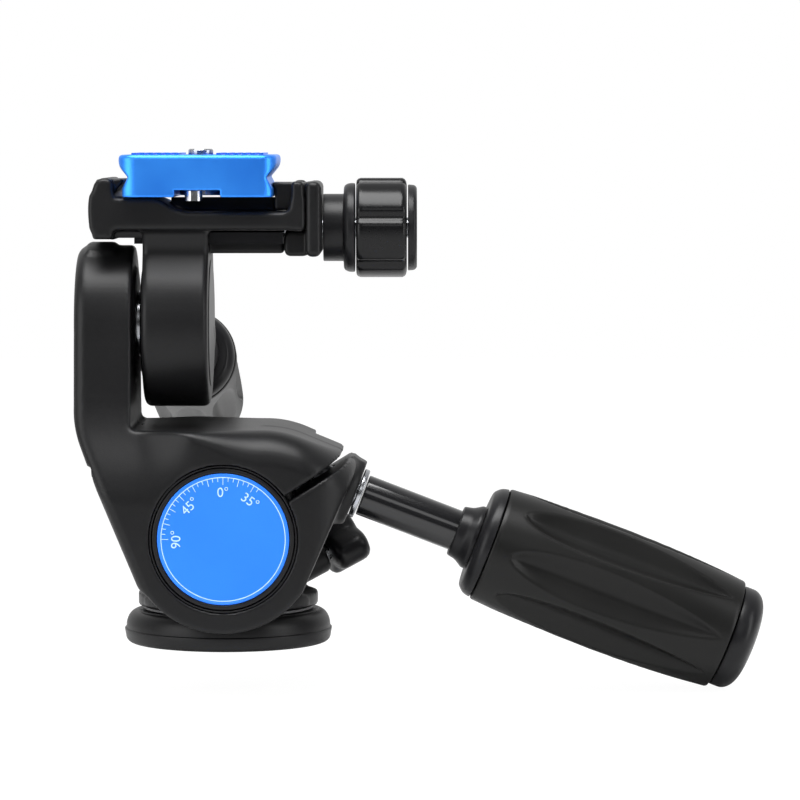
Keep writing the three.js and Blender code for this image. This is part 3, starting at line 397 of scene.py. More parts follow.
def high(a, b):
    return (a if isinstance(a, Socket) else b).sheet.sum("MAXIMUM", a, b)


def root(a):
    return a.sheet.sum("SQRT", a)


def length(a, b):
    return root(a * a + b * b)


def both(a, b, round_by):
    """Inside a and b, with the edge where they meet rounded."""
    corner = length(high(a + round_by, 0.0), high(b + round_by, 0.0))
    return low(high(a, b), -round_by) + corner


def either(a, b, fillet):
    return -both(-a, -b, fillet)


def without(a, b, round_by):
    return both(a, -b, round_by)


def plane(x, z, point, angle):
    """Signed distance from a line through a point, whose outside lies at an angle in degrees."""
    nx, nz = math.cos(math.radians(angle)), math.sin(math.radians(angle))
    return x * nx + z * nz - (point[0] * nx + point[1] * nz)


def slab(a, start, end):
    return abs(a - (start + end) / 2) - (end - start) / 2


# %% [markdown]
# Each node tree has named inputs for its sizes and ends in the same way: its
# instances become real geometry and take their finish. It is evaluated once
# on an empty carrier, and only the plain mesh stays.

# %% A node tree and its mesh
TREE_SHARP = math.radians(60)


def geometry_sheet(name, *labels):
    """A new tree with one number input for each label: its sheet and their sockets."""
    tree = bpy.data.node_groups.new(name, "GeometryNodeTree")
    tree.interface.new_socket("Geometry", in_out="OUTPUT", socket_type="NodeSocketGeometry")
    for label in labels:
        tree.interface.new_socket(label, in_out="INPUT", socket_type="NodeSocketFloat")
    sheet = Sheet(tree)
    entry = sheet.node("NodeGroupInput")
    return sheet, [Socket(sheet, entry.outputs[label]) for label in labels]


def baked(name, sheet, shape, finish, sizes, body, replaces=()):
    """End a tree, evaluate it once with its sizes and keep the result as a plain mesh."""
    whole = sheet.get("GeometryNodeRealizeInstances", None, {0: shape})
    finished = sheet.get("GeometryNodeSetMaterial", None, {
        "Geometry": whole, "Material": FINISHES[finish]})
    sheet.node("NodeGroupOutput", None, {0: finished})
    carrier = bpy.data.objects.new(name + "_carrier", bpy.data.meshes.new(name + "_carrier"))
    bpy.context.collection.objects.link(carrier)
    modifier = carrier.modifiers.new("nodes", "NODES")
    modifier.node_group = sheet.tree
    for label, size in sizes.items():
        modifier[sheet.tree.interface.items_tree[label].identifier] = size
    graph = bpy.context.evaluated_depsgraph_get()
    mesh = bpy.data.meshes.new_from_object(carrier.evaluated_get(graph))
    carrier.modifiers.clear()
    bpy.data.objects.remove(carrier)
    mesh.name = name
    clean(mesh, TREE_SHARP)
    return kept(name, mesh, body, replaces)


# %% [markdown]
# The volume counts from 0, at 4 mm outside the surface, to 8, at 4 mm inside
# it, and the surface is drawn at 4. Smaller voxels draw finer edges and make
# more faces, so each casting has its own.

# %% A casting from its formula
BAND = 4.0


def field_piece(name, formula, box, voxel, body, slot, replaces):
    """Draw the zero surface of a formula of x, y and z inside a box, all in mm."""
    sheet, (voxel_in,) = geometry_sheet(name, "Voxel")
    x, y, z = sheet.split(sheet.get("GeometryNodeInputPosition"))
    inside = -formula(x * (1 / MM), y * (1 / MM), z * (1 / MM))
    density = low(high(inside + BAND, 0.0), BAND * 2)
    low_corner, high_corner = [Vector(corner) * MM for corner in box]
    counts = [sheet.sum("CEIL", (end - start) / MM / voxel_in)
              for start, end in zip(low_corner, high_corner)]
    volume = sheet.get("GeometryNodeVolumeCube", None, {
        "Density": density, "Min": low_corner, "Max": high_corner,
        "Resolution X": counts[0], "Resolution Y": counts[1], "Resolution Z": counts[2]})
    skin = sheet.get("GeometryNodeVolumeToMesh", None, {"Volume": volume, "Threshold": BAND})
    return baked(name, sheet, skin, slot, {"Voxel": voxel}, body, replaces)


# %% [markdown]
# The tilt yoke is one casting: two cheeks round the trunnions, a web over
# the pan housing, two jaws with a slit that the tilt handle squeezes, and the
# column that carries the lateral axis. Its side view is straight lines that
# touch the lobe round the dial. A formula of distances suits it, because the
# lines have to run into the flat cheeks through wide, soft edges. Two kinds
# of slope recur in it: one that swells from 0 to 1, and one that starts level
# and bends into a straight slope.

# %% Yoke's sizes and slopes
YOKE_HALF = 30.3
CHEEK_INNER = 26.2
LOBE = 23.3
ROOF = 26.1
SWEEP = 39.3
TRUNNION_BORE = 18.1
SPINDLE_BORE = 7.3
HANDLE_BORE = 4.2
PIVOT_BOSS = 14.0
COLUMN_LEFT, COLUMN_RIGHT = -37.2, -23.0
PAD_LEFT, PAD_RIGHT = -34.4, -27.9
COLUMN_HEAD = 19.5
HEAD_RISE = LATERAL_Z - TILT_Z
NOSE_RADIUS, NOSE_END = 10.2, 26.6
SLIT = math.radians(32.5)
FAN_START = 11.0


def along_handle(x, y, z):
    """Distance along the tilt handle's line and away from it, from the tilt axis' frame."""
    sin, cos = math.sin(HANDLE_DROP), math.cos(HANDLE_DROP)
    dx, dz = x - HANDLE_OFFSET * sin, z - HANDLE_OFFSET * cos
    along = dx * cos - dz * sin
    across = dx * sin + dz * cos
    return along, length(across, y)


def smooth_step(a, start, end):
    share = low(high((a - start) / (end - start), 0.0), 1.0)
    return share * share * (3.0 - share * 2.0)


def eased_slope(a, corner, slope, reach):
    """Nothing before the corner, a straight slope after it, and a parabola between them."""
    start = high(a - (corner - reach), 0.0)
    end = high(a - (corner + reach), 0.0)
    return (start * start - end * end) * (slope / (4.0 * reach))


def roof_slope(x):
    return eased_slope(x, 14.3, 0.412, 5.0)


# %% [markdown]
# Outside, the cheeks draw in towards the column's head and towards the jaws'
# tips. The edge between roof and cheek is narrow on the column and nearly
# 9 mm wide over the dial, as the highlight in the photograph shows.

# %% Yoke's outside
def yoke_sides(x, y, z):
    """The cheeks, which draw in towards the column's head and towards the jaws' tips."""
    drawn = smooth_step(z, 8.0, 34.4) * smooth_step(-x, 6.0, 22.0) * 9.5
    wall = abs(y) - YOKE_HALF + drawn + high(z - 35.0, 0.0) * 0.079
    sweep_x = high(x - 18.0, 0.0) / 17.6
    sweep_y = high(abs(y) - 9.0, 0.0) / 21.3
    wall = high(wall, (length(sweep_x, sweep_y) - 1.0) * 19.0)
    rise = z - HEAD_RISE
    head = high(length(y, high(rise, 0.0)) - COLUMN_HEAD, x - COLUMN_RIGHT - 2.0)
    return low(high(wall, rise), head)


def yoke_body(x, y, z):
    roof = z - ROOF + roof_slope(x)
    silhouette = either(x - COLUMN_RIGHT, roof, 1.4)
    edge = smooth_step(x, -14.0, 10.0) * 7.7 + 0.9
    casting = both(yoke_sides(x, y, z), silhouette, edge)
    left = (COLUMN_LEFT - x + eased_slope(-z, -26.5, 0.4183, 4.5)) * 0.96
    casting = both(casting, left, 3.0)
    lobe = either(length(x, z) - LOBE, -12.5 - z, 2.5)
    return both(casting, both(lobe, plane(x, z, (27.0, 4.2), -23.8), 0.8), 1.0)


# %% [markdown]
# Inside, the yoke has to clear what it tilts round: the two ears, the drum
# and the base's rim. So the space between its cheeks is a solid of its own,
# shaped by their sweep, and is cut out of the casting.

# %% Yoke's inside
def yoke_space(x, y, z):
    """What the pan housing and base sweep through as the yoke tilts."""
    r = length(x, z)
    reach = r - SWEEP
    under = high(z - x * 0.0262, reach)
    left = high(high(x + 9.2, z - 17.2), reach)
    slot = low(r - 19.5, low(under, left))
    out = length(y, z)
    t = low(high((x + 25.0) / 4.8, 0.0), 1.0)
    shoulder = 23.2 + 3.2 * root(1.0 - t * t)
    swept = high(high(out - shoulder, x + 11.0), length(x, out) - SWEEP)
    return both(low(slot, swept), abs(y) - CHEEK_INNER, 0.6)


# %% [markdown]
# The whole casting adds the pivot's boss, the pad on the column's head and
# the nose that carries the tilt handle. Then it cuts the slit, the far
# cheek's recess for the pan lock, and the bores.

# %% Yoke casting
def yoke_formula(x, y, world_z):
    z = world_z - TILT_Z
    r = length(x, z)
    along, away = along_handle(x, y, z)
    casting = yoke_body(x, y, z)
    spindle = length(y, z - HEAD_RISE)
    casting = low(casting, both(spindle - PIVOT_BOSS, slab(x, -24.0, -22.4), 0.25))
    pad = high(both(spindle - 20.3, slab(x, PAD_LEFT, PAD_RIGHT), 0.4), HEAD_RISE - z)
    casting = either(casting, both(pad, abs(y) - 9.0, 0.8), 1.2)
    taper = high(along - 16.0, 0.0) * 0.11
    nose = both(away - (NOSE_RADIUS - taper), slab(along, 0.0, NOSE_END), 0.9)
    nose = high(nose, plane(x, z, (30.6, 19.4), 68.0))
    nose = high(nose, z - ROOF + 1.0 + roof_slope(x))
    casting = either(casting, nose, 2.0)
    casting = without(casting, yoke_space(x, y, z), 0.5)
    half = 0.78 + high(x - 17.0, 0.0) * 0.026
    slit = high(abs(x * -math.sin(SLIT) + z * math.cos(SLIT)) - half, -x)
    casting = without(casting, slit, 0.5)
    fan = high(z * 0.6947 - x * 0.7193, z * 0.616 - x * 0.788)
    casting = without(casting, high(high(FAN_START - y, 20.4 - r), fan), 0.6)
    ring = both(slab(r, 19.2, 22.4), slab(y, FAN_START, CHEEK_INNER), 0.3)
    casting = without(casting, high(ring, fan), 0.3)
    casting = without(casting, r - TRUNNION_BORE, 0.25)
    casting = without(casting, high(away - HANDLE_BORE, -7.3 - along), 0.4)
    casting = without(casting, high(spindle - SPINDLE_BORE, x), 0.4)
    return without(casting, high(spindle - 9.3, x + 35.8), 0.4)


field_piece("yoke_casting", yoke_formula, ((-38.2, -31.5, 4.0), (36.0, 31.5, 101.4)), 0.6,
            "yoke", "cast_black", ["tilt_yoke"])


# %% [markdown]
# The platform casting hangs on the lateral spindle: a round hub, a leg that
# narrows to a waist, and the clamp on top. The clamp has its fixed jaw on the
# left, with a hook over the plate's foot, a relief in its floor, and a low
# post on the right for the moving jaw.

# %% Clamp's bed
HUB, LEG_HALF = 20.75, 12.5
LEG_LEFT, LEG_RIGHT = -20.5, -4.2
PLATFORM_LEFT, PLATFORM_HALF = -33.2, 17.0
BED_BOTTOM, BED_TOP = 103.3, 111.4
RELIEF_FLOOR = 107.9
WIDEST = 108.5
POST_LEFT, POST_RIGHT = 15.9, 19.6
SCREW_BORE = 2.8


def clamp_body(x, y, z):
    rise, drop = high(z - WIDEST, 0.0), high(WIDEST - z, 0.0)
    left = PLATFORM_LEFT - x + rise * rise * 0.0287 + drop * drop * 0.0146
    deck = both(both(left, x - POST_RIGHT, 0.8), slab(z, BED_BOTTOM, BED_TOP), 0.8)
    jaw = both(both(left, x + 27.4, 1.9), slab(z, BED_BOTTOM, 116.2), 1.8)
    hook = both(plane(x, z, (-24.2, 116.4), -38.0), x + 24.4, 0.3)
    hook = both(both(both(hook, left, 0.5), slab(z, BED_BOTTOM, 115.9), 0.5), abs(y) - 14.2, 0.5)
    foot = both(both(left, x + 27.6, 1.2), slab(z, 101.1, 112.0), 0.5)
    post = both(slab(x, POST_LEFT, POST_RIGHT), slab(z, BED_BOTTOM, 115.4), 1.3)
    body = either(low(deck, jaw), foot, 1.4)
    body = either(low(body, hook), post, 0.6)
    relief = both((-16.0 - x + (111.2 - z) * 1.3) * 0.61, x - POST_LEFT, 0.6)
    body = without(body, both(relief, RELIEF_FLOOR - z, 1.8), 1.6)
    web = both(both(slab(x, -14.0, 12.2), slab(z, 107.0, 111.3), 0.2), abs(y) - 1.5, 0.2)
    return both(low(body, web), abs(y) - PLATFORM_HALF, 1.3)


# %% [markdown]
# The leg is a bar that widens into the clamp and runs into the round hub
# through 4 mm fillets. A low boss faces the column, and a rib under the
# clamp's floor stiffens its left end.

# %% Leg and hub
def leg_body(x, y, z):
    rise = z - LATERAL_Z
    hub = length(y, rise) - HUB
    widening = high(rise - 17.8, 0.0) * 0.45
    waist = high(abs(y) - LEG_HALF - widening, high(-rise, z - 104.6))
    leg = both(either(hub, waist, 4.0), slab(x, LEG_LEFT, LEG_RIGHT), 1.7)
    boss = both(length(y, rise) - PIVOT_BOSS, slab(x, LEG_LEFT - 0.7, -19.0), 0.3)
    rib = both(both(slab(x, -28.0, -19.0), slab(z, 101.3, 105.0), 0.3), abs(y) - 12.0, 0.4)
    return low(low(leg, boss), rib)


# %% [markdown]
# The whole casting joins bed and leg and adds the nose for the second handle
# and the boss for the clamp screw. The bores are cut last, so that no fillet
# fills them.

# %% Platform casting
BACK_NOSE_RADIUS, BACK_NOSE_END = 7.9, 27.0


def bracket_formula(x, y, z):
    sin, cos = math.sin(LATERAL_DROP), math.cos(LATERAL_DROP)
    dx, dz = x - LATERAL_HANDLE_X, z - LATERAL_Z
    along = y * cos - dz * sin
    away = length(dx, y * sin + dz * cos)
    casting = either(clamp_body(x, y, z), leg_body(x, y, z), 1.2)
    nose = both(away - BACK_NOSE_RADIUS, slab(along, 0.0, BACK_NOSE_END), 0.7)
    casting = either(casting, nose, 1.6)
    boss = both(both(abs(y) - 5.8, slab(z, 97.4, 105.0), 0.6), slab(x, -6.0, 14.2), 0.6)
    casting = either(casting, boss, 0.6)
    casting = without(casting, length(y, dz) - SPINDLE_BORE, 0.4)
    casting = without(casting, high(away - HANDLE_BORE, -along), 0.4)
    post_gap = high(high(abs(y) - 12.0, RELIEF_FLOOR - z), slab(x, 13.0, 23.7))
    casting = without(casting, post_gap, 0.5)
    bar = both(slab(y, -11.1, -6.1), slab(z, 99.6, 103.0), 0.4)
    casting = without(casting, bar, 0.4)
    screw = high(length(y, z - CLAMP_Z) - SCREW_BORE, -9.3 - x)
    return without(casting, screw, 0.4)


field_piece("platform_casting", bracket_formula, ((-34.2, -22.2, 57.5), (21.0, 32.5, 117.5)), 0.45,
            "platform", "cast_black", ["platform_bracket"])


# %% [markdown]
# The moving jaw is a wall outside the post. Its tongue reaches over the post
# and leans on the plate's dovetail, and a hook below it rides under the bed.
# The clamp screw passes through it.

# %% Moving jaw
JAW_INNER, JAW_OUTER = 19.9, 23.7
JAW_BOTTOM, JAW_TOP = 96.8, 115.3


def jaw_formula(x, y, z):
    wall = both(slab(x, JAW_INNER, JAW_OUTER), slab(z, JAW_BOTTOM, JAW_TOP), 1.6)
    outer = both(wall, abs(y) - PLATFORM_HALF, 1.4)
    lip = both(12.2 - high(z - 113.4, 0.0) * 0.5625 - x, x - 20.6, 0.3)
    tongue = both(both(lip, slab(z, 108.2, 115.0), 0.4), abs(y) - 11.7, 0.5)
    hook = both(both(slab(x, 14.5, 20.6), slab(z, JAW_BOTTOM, 102.9), 1.5), abs(y) - 10.0, 0.8)
    body = either(either(outer, tongue, 0.7), hook, 0.7)
    return without(body, length(y, z - CLAMP_Z) - SCREW_BORE, 0.3)


field_piece("jaw_casting", jaw_formula, ((10.8, -17.6, 96.2), (24.3, 17.6, 115.9)), 0.3,
            "jaw", "cast_black", ["moving_jaw"])


# %% [markdown]
# The base disc is turned: a flat underside with a rounded chamfer, a rim
# band, and a shoulder that curves in to the neck. Two plain rings are turned
# with it: the nylon glide ring under the pan housing, and the bright washer
# that shows in the gap of the lateral pivot.

# %% Base disc and two rings
def base_profile():
    shoulder = [(22.7 + 2.9 * math.cos(a), 3.7 + 4.3 * math.sin(a) ** 0.9)
                for a in [math.radians(9 * i) for i in range(11)]]
    foot = [(25.7 - 1.7 * (1 - math.sin(a)), 1.7 - 1.7 * math.cos(a))
            for a in [math.radians(15 * i) for i in range(7)]]
    rim = [(26.0, 3.3), (25.95, 3.5), (25.8, 3.6)]
    return [(8.3, 0.0), (24.0, 0.0)] + foot[1:] + rim + shoulder + [(22.5, 8.2), (8.3, 8.2)]


piece("base_turned", *turned(base_profile(), 144), "base", "cast_black", ["base_disc"])
washer_profile = [(7.3, -22.1), (8.3, -22.1), (8.3, -21.5), (7.3, -21.5)]
piece("pivot_washer", *turned(washer_profile, 72), "yoke", "chrome_steel", ["spindle_washer"],
      ALONG_LATERAL)
glide_profile = [(18.0, 8.5), (21.2, 8.5), (21.2, 9.0), (18.0, 9.0)]
piece("glide_turned", *turned(glide_profile, 96), "base", "nylon", ["pan_glide_ring"])


# %% [markdown]
# The pan housing turns on the glide ring, with a thin dark line between it
# and the base. It is a low drum with two round ears that flare into it, and
# a boss for the pan lock. Its parts meet in fillets, so it is drawn from a
# formula like the other castings.

# %% Pan housing
DRUM, DRUM_BOTTOM, DRUM_TOP = 22.5, 9.3, 12.7
EAR, EAR_INNER, EAR_OUTER = 19.0, 9.6, 25.6


def housing_formula(x, y, z):
    drum = both(length(x, y) - DRUM, slab(z, DRUM_BOTTOM, DRUM_TOP), 0.5)
    rise = z - TILT_Z
    ear = length(x, rise) - EAR
    flare = high(abs(x) - 15.2 - high(-rise - 11.4, 0.0) * 0.95, slab(rise, -18.0, 0.0))
    ear = both(low(ear, flare), slab(abs(y), EAR_INNER, EAR_OUTER), 0.8)
    ear = high(ear, low(length(x, y) - DRUM, length(x, rise) - EAR))
    body = either(drum, ear, 0.8)
    local = [x - PAN_LOCK_TIP[0], y - PAN_LOCK_TIP[1], z - PAN_LOCK_TIP[2]]
    ax = [math.cos(PAN_LOCK_AZIMUTH) * math.cos(PAN_LOCK_RISE),
          math.sin(PAN_LOCK_AZIMUTH) * math.cos(PAN_LOCK_RISE), math.sin(PAN_LOCK_RISE)]
    along = local[0] * ax[0] + local[1] * ax[1] + local[2] * ax[2]
    square = local[0] * local[0] + local[1] * local[1] + local[2] * local[2]
    away = root(high(square - along * along, 0.0))
    body = either(body, both(away - 4.6, slab(along, 2.0, 12.6), 0.6), 0.8)
    body = without(body, length(x, rise) - 16.3, 0.4)
    body = without(body, high(length(x, y) - 6.3, z - 15.0), 0.3)
    body = without(body, both(away - 2.3, slab(along, -2.0, 14.6), 0.3), 0.3)
    plunger = length(x - PAN_LOCK_TIP[0], y - PAN_LOCK_TIP[1]) - 1.8
    return without(body, high(plunger, z - PAN_LOCK_TIP[2]), 0.3)


field_piece("pan_casting", housing_formula, ((-23.5, -26.5, 8.5), (27.0, 26.5, 48.5)), 0.55,
            "pan_body", "cast_black", ["pan_housing"])


# %% [markdown]
# Round the dial stand two black rings: the trunnion's flange, and the thin
# edge of the sleeve that the yoke turns on. The blue disc is set into the
# flange, and its rim stands a little higher than its face.

# %% Dial and its rings
FACE, DISC_FACE = 29.9, 29.82
flange_profile = eased([(4.3, 9.6), (16.0, 9.6), (16.0, 25.9), (17.4, 25.9), (17.4, FACE, 0.5),
                        (16.25, FACE, 0.35), (16.25, 28.7), (8.3, 28.7), (8.3, 24.3), (4.3, 24.3)])
piece("near_flange", *turned(flange_profile, 128), "pan_body", "plastic_black",
      ["trunnion_near"], ALONG_TILT)
sleeve_profile = eased([(17.65, 26.2), (18.0, 26.2), (18.0, 30.0, 0.12), (17.65, 30.0, 0.12)])
piece("near_sleeve", *turned(sleeve_profile, 128), "yoke", "plastic_black",
      ["sleeve_near"], ALONG_TILT)
dial_profile = eased([(0.0, 29.0), (16.1, 29.0), (16.1, FACE, 0.4), (15.6, FACE),
                      (15.5, DISC_FACE, 0.05), (0.0, DISC_FACE)])
piece("blue_dial", *turned(dial_profile, 128), "pan_body", "dial_blue", ["tilt_dial"], ALONG_TILT)


# %% [markdown]
# The print on the dial is a thin white ink that lets some blue through: a
# ring line, ticks every five degrees with longer ones at each fifteen, and
# the numbers 90, 45, 0 and 35 with a degree sign. The ticks are instances on
# a circle in Geometry Nodes, and the ink is only as thick as a print is.

# %% Dial ticks
INK_Y = -29.86
INK_RING = 15.15
TICK_FIRST, TICK_LAST, TICK_STEP = -35, 90, 5
TICK_SHORT, TICK_MORE, TICK_THICK = 0.9, 0.8, 0.06


def make_ticks():
    sheet, (radius, width) = geometry_sheet("dial_ticks", "Ring", "Width")
    count = (TICK_LAST - TICK_FIRST) // TICK_STEP + 1
    points = sheet.get("GeometryNodeMeshLine", None, {"Count": count})
    index = sheet.get("GeometryNodeInputIndex")
    turn = index * math.radians(TICK_STEP) + math.radians(TICK_FIRST)
    is_long = sheet.sum("LESS_THAN", abs(sheet.sum("SINE", turn * 12.0)), 0.01)
    tall = TICK_SHORT * MM + is_long * (TICK_MORE * MM)
    bar = sheet.get("GeometryNodeMeshCube", None, {"Size": (1.0, 1.0, 1.0)})
    size = sheet.get("ShaderNodeCombineXYZ", None, {"X": width, "Y": TICK_THICK * MM, "Z": tall})
    mid = radius - tall * 0.5
    spot = sheet.get("ShaderNodeCombineXYZ", None, {
        "X": -sheet.sum("SINE", turn) * mid, "Y": 0.0, "Z": sheet.sum("COSINE", turn) * mid})
    placed = sheet.get("GeometryNodeSetPosition", None, {"Geometry": points, "Position": spot})
    angle = sheet.get("ShaderNodeCombineXYZ", None, {"X": 0.0, "Y": -turn, "Z": 0.0})
    bars = sheet.get("GeometryNodeInstanceOnPoints", None, {
        "Points": placed, "Instance": bar, "Rotation": angle, "Scale": size})
    moved = sheet.get("GeometryNodeTransform", None, {
        "Geometry": bars, "Translation": Vector((0, INK_Y, TILT_Z)) * MM})
    sizes = {"Ring": (INK_RING - 0.1) * MM, "Width": 0.16 * MM}
    baked("dial_ticks", sheet, moved, "white_ink", sizes, "pan_body")


make_ticks()


# %% [markdown]
# The ring line is turned like the disc. The numbers are Blender's own text,
# stood upright at their angle and made a mesh, so that the export keeps them.

# %% Dial line and numbers
LINE_HALF, LINE_TOP = 0.11, 29.88
line_profile = [(INK_RING - LINE_HALF, DISC_FACE), (INK_RING + LINE_HALF, DISC_FACE),
                (INK_RING + LINE_HALF, LINE_TOP), (INK_RING - LINE_HALF, LINE_TOP)]
ring_line = piece("dial_line", *turned(line_profile, 128), "pan_body", "dial_blue", (), ALONG_TILT)
ring_line.data.materials[0] = FINISHES["white_ink"]


NUMBER_SIZE, NUMBER_RADIUS = 3.3, 11.4


def dial_number(value, degrees):
    """Draw a number upright along the radius at an angle left of the top."""
    curve = bpy.data.curves.new("number_%d" % value, "FONT")
    curve.body = "%d°" % value
    curve.size = NUMBER_SIZE * MM
    curve.extrude = TICK_THICK / 2 * MM
    curve.align_x, curve.align_y = "CENTER", "CENTER"
    holder = bpy.data.objects.new("number_text", curve)
    bpy.context.collection.objects.link(holder)
    graph = bpy.context.evaluated_depsgraph_get()
    mesh = bpy.data.meshes.new_from_object(holder.evaluated_get(graph))
    bpy.data.objects.remove(holder)
    stand = Matrix.Rotation(math.pi / 2, 4, "X")
    swing = Matrix.Rotation(-math.radians(degrees), 4, "Y")
    lift = Matrix.Translation((0, 0, NUMBER_RADIUS * MM))
    base = Matrix.Translation(Vector((0, INK_Y, TILT_Z)) * MM)
    mesh.transform(base @ swing @ lift @ stand)
    clean(mesh)
    mesh.materials.clear()
    mesh.materials.append(FINISHES["white_ink"])
    kept("dial_number_%d" % value, mesh, "pan_body")


for shown, at in ((90, 90), (45, 45), (0, 0), (35, -35)):
    dial_number(shown, at)


# %% [markdown]
# The grips are moulded rubber sleeves with eight long lens-shaped scoops, so
# that fingers find a hold. The sleeve is a finely turned tube, and a formula
# of angle and length presses the scoops in. The second grip is slimmer and
# straighter than the tilt handle's, and both come from one function.

# %% Grip rubber
GRIP_LENGTH = 63.4
RIM_RADIUS, TAIL_RADIUS = 14.7, 14.1
SCOOPS, SCOOP_DEPTH = 8, 3.0
SLIM = {"tilt": 0.0, "lateral": 2.0}
BELLY = {"tilt": 1.8, "lateral": 0.1}
SCOOP_START, SCOOP_END = 0.09, 0.96
SCOOP_SIDES, GRIP_STEPS = 240, 90
GRIP_BORE, SKIN_EDGE = 11.4, 0.12
RIM_AT = {"tilt": 62.8, "lateral": 44.7}
GRIP_LINE = {"tilt": TILT_LINE, "lateral": LATERAL_LINE}


def scooped(angle, radius, height):
    """Press in lens shapes that are round towards the rim and pointed towards the cap."""
    along = (height / GRIP_LENGTH - SCOOP_START) / (SCOOP_END - SCOOP_START)
    if radius < TAIL_RADIUS - SLIM["lateral"] - 0.5 or not 0 < along < 1:
        return radius
    lens = along ** 0.6 * (1 - along) ** 0.9 / 0.364
    across = abs(angle * SCOOPS / (2 * math.pi)) % 1
    centred = min(across, 1 - across) * 2 / (0.88 * lens ** 0.8)
    return radius - SCOOP_DEPTH * lens ** 0.7 * max(0.0, 1 - centred * centred) ** 1.15


def grip_profile(slim, belly):
    rim, tail, inner = RIM_RADIUS - slim, TAIL_RADIUS - slim, GRIP_BORE - slim
    shares = [step / GRIP_STEPS for step in range(GRIP_STEPS + 1)]
    wall = [(rim + (tail - rim) * share + belly * math.sin(math.pi * share),
             0.5 + (GRIP_LENGTH - 1.0) * share) for share in shares]
    foot = [(inner, 0.0), (rim - 0.7, 0.0), (rim - 0.2, SKIN_EDGE)]
    end = [(tail - 0.2, GRIP_LENGTH - SKIN_EDGE), (tail - 0.7, GRIP_LENGTH), (inner, GRIP_LENGTH)]
    return foot + wall + end


# %% [markdown]
# Under the rubber sits a core with a shoulder in front of it, then a bell
# that leads to the shaft, and a domed cap closes the far end.

# %% Grips
def make_grip(side):
    place = GRIP_LINE[side] @ Matrix.Translation((0, 0, RIM_AT[side]))
    body = side + "_grip"
    slim = SLIM[side]
    profile = grip_profile(slim, BELLY[side])
    piece(side + "_rubber", *turned(profile, SCOOP_SIDES, scooped), body, "rubber_black",
          [side + "_grip_rubber"], place)
    outer = [(GRIP_BORE, -3.8, 0.6), (12.5, -3.7, 0.6), (14.0, -2.2, 1.6), (14.4, -0.3, 0.3),
             (11.1, -0.3), (11.1, GRIP_LENGTH)]
    slimmed = [(radius - slim, *rest) for radius, *rest in outer]
    core = eased([(6.7, -3.8)] + slimmed + [(6.7, GRIP_LENGTH)])
    piece(side + "_shoulder", *turned(core, 96), body, "plastic_black",
          [side + "_grip_core"], place)
    collar = eased([(5.5, -9.3), (6.4, -9.3, 0.5), (6.9, -6.9, 0.8), (8.2, -4.9, 1.0),
                    (8.2, -4.1), (6.4, -4.1), (6.4, -1.1), (5.5, -1.1)])
    piece(side + "_bell", *turned(collar, 96), body, "plastic_black", [side + "_collar"], place)
    wide = 13.05 - slim
    dome = [(wide * math.cos(a) ** 0.5, 66.1 + 4.4 * math.sin(a))
            for a in [math.radians(6 * i) for i in range(15)]]
    edge = [(wide - 0.6, 63.7), (wide - 0.2, 63.8), (wide, 64.2)]
    cap = [(0.0, 63.7)] + edge + dome + [(0.0, 70.5)]
    piece(side + "_end_cap", *turned(cap, 96), body, "plastic_black", [side + "_grip_cap"], place)


for grip_side in ("tilt", "lateral"):
    make_grip(grip_side)


# %% [markdown]
# Each handle's shaft is a gloss black tube, seated on a bright washer at the
# casting's nose. The tube runs on inside the grip, which telescopes on it.

# %% Shafts and washers
SHAFT_RADIUS, WASHER_RADIUS = 5.2, 6.35


def make_shaft(side, seat, reach):
    line = GRIP_LINE[side]
    body = side + "_handle"
    ring = eased([(HANDLE_BORE, seat + 0.3), (WASHER_RADIUS, seat + 0.3, 0.3),
                  (WASHER_RADIUS, seat + 1.6, 0.45), (HANDLE_BORE, seat + 1.6)])
    piece(side + "_bright_washer", *turned(ring, 72), body, "chrome_steel",
          [side + "_washer"], line)
    end = RIM_AT[side] + reach - 3.0
    tube = eased([(0.0, seat + 1.9), (SHAFT_RADIUS, seat + 1.9, 0.4), (SHAFT_RADIUS, end, 0.4),
                  (0.0, end)])
    piece(side + "_tube", *turned(tube, 72), body, "black_steel", [side + "_shaft"], line)


make_shaft("tilt", NOSE_END, 22.0)
make_shaft("lateral", BACK_NOSE_END, 47.0)


# %% [markdown]
# The clamp knob has a neck with a flange, a body with six narrow grooves, and
# an end ring with a dished face. The grooves are pressed into a turned
# outline by a cosine of the angle. A high power of it keeps them narrow.

# %% Clamp knob
def lobes(count, depth, sharpness, least, phase):
    """Press that many grooves into a turned outline, outside a least radius."""
    def reshape(angle, radius, height):
        if radius < least:
            return radius
        groove = abs(math.cos((angle + phase) * count / 2)) ** sharpness
        return radius - depth * groove * min(1.0, (radius - least) * 2)
    return reshape


CLAMP_BORE, CLAMP_RADIUS = 3.2, 12.4
neck = eased([(CLAMP_BORE, 24.0), (8.4, 24.0, 0.3), (8.4, 29.1, 0.4), (10.4, 29.1, 0.9),
              (11.1, 30.3, 0.9), (11.1, 31.9, 0.4), (CLAMP_BORE, 31.9)])
piece("clamp_neck", *turned(neck, 96), "clamp_knob", "plastic_black", ["clamp_knob_neck"],
      ALONG_CLAMP)
knob_body = ([(CLAMP_BORE, 32.2), (11.2, 32.2), (11.8, 32.3), (12.2, 32.7), (CLAMP_RADIUS, 33.3)]
             + [(CLAMP_RADIUS, 34.0 + i) for i in range(10)]
             + [(CLAMP_RADIUS, 43.7), (12.1, 44.3), (11.5, 44.65), (10.8, 44.8),
                (CLAMP_BORE, 44.8)])
piece("clamp_lobes", *turned(knob_body, 240, lobes(6, 1.0, 24, 8.0, math.radians(43.5))),
      "clamp_knob", "gloss_black", ["clamp_knob"], ALONG_CLAMP)
ring_cap = eased([(CLAMP_BORE, 45.1), (10.75, 45.1, 0.3), (10.6, 46.8, 0.5), (9.8, 47.4, 0.4),
                  (8.6, 47.0, 0.3), (0.0, 47.0), (0.0, 46.2), (CLAMP_BORE, 46.2)])
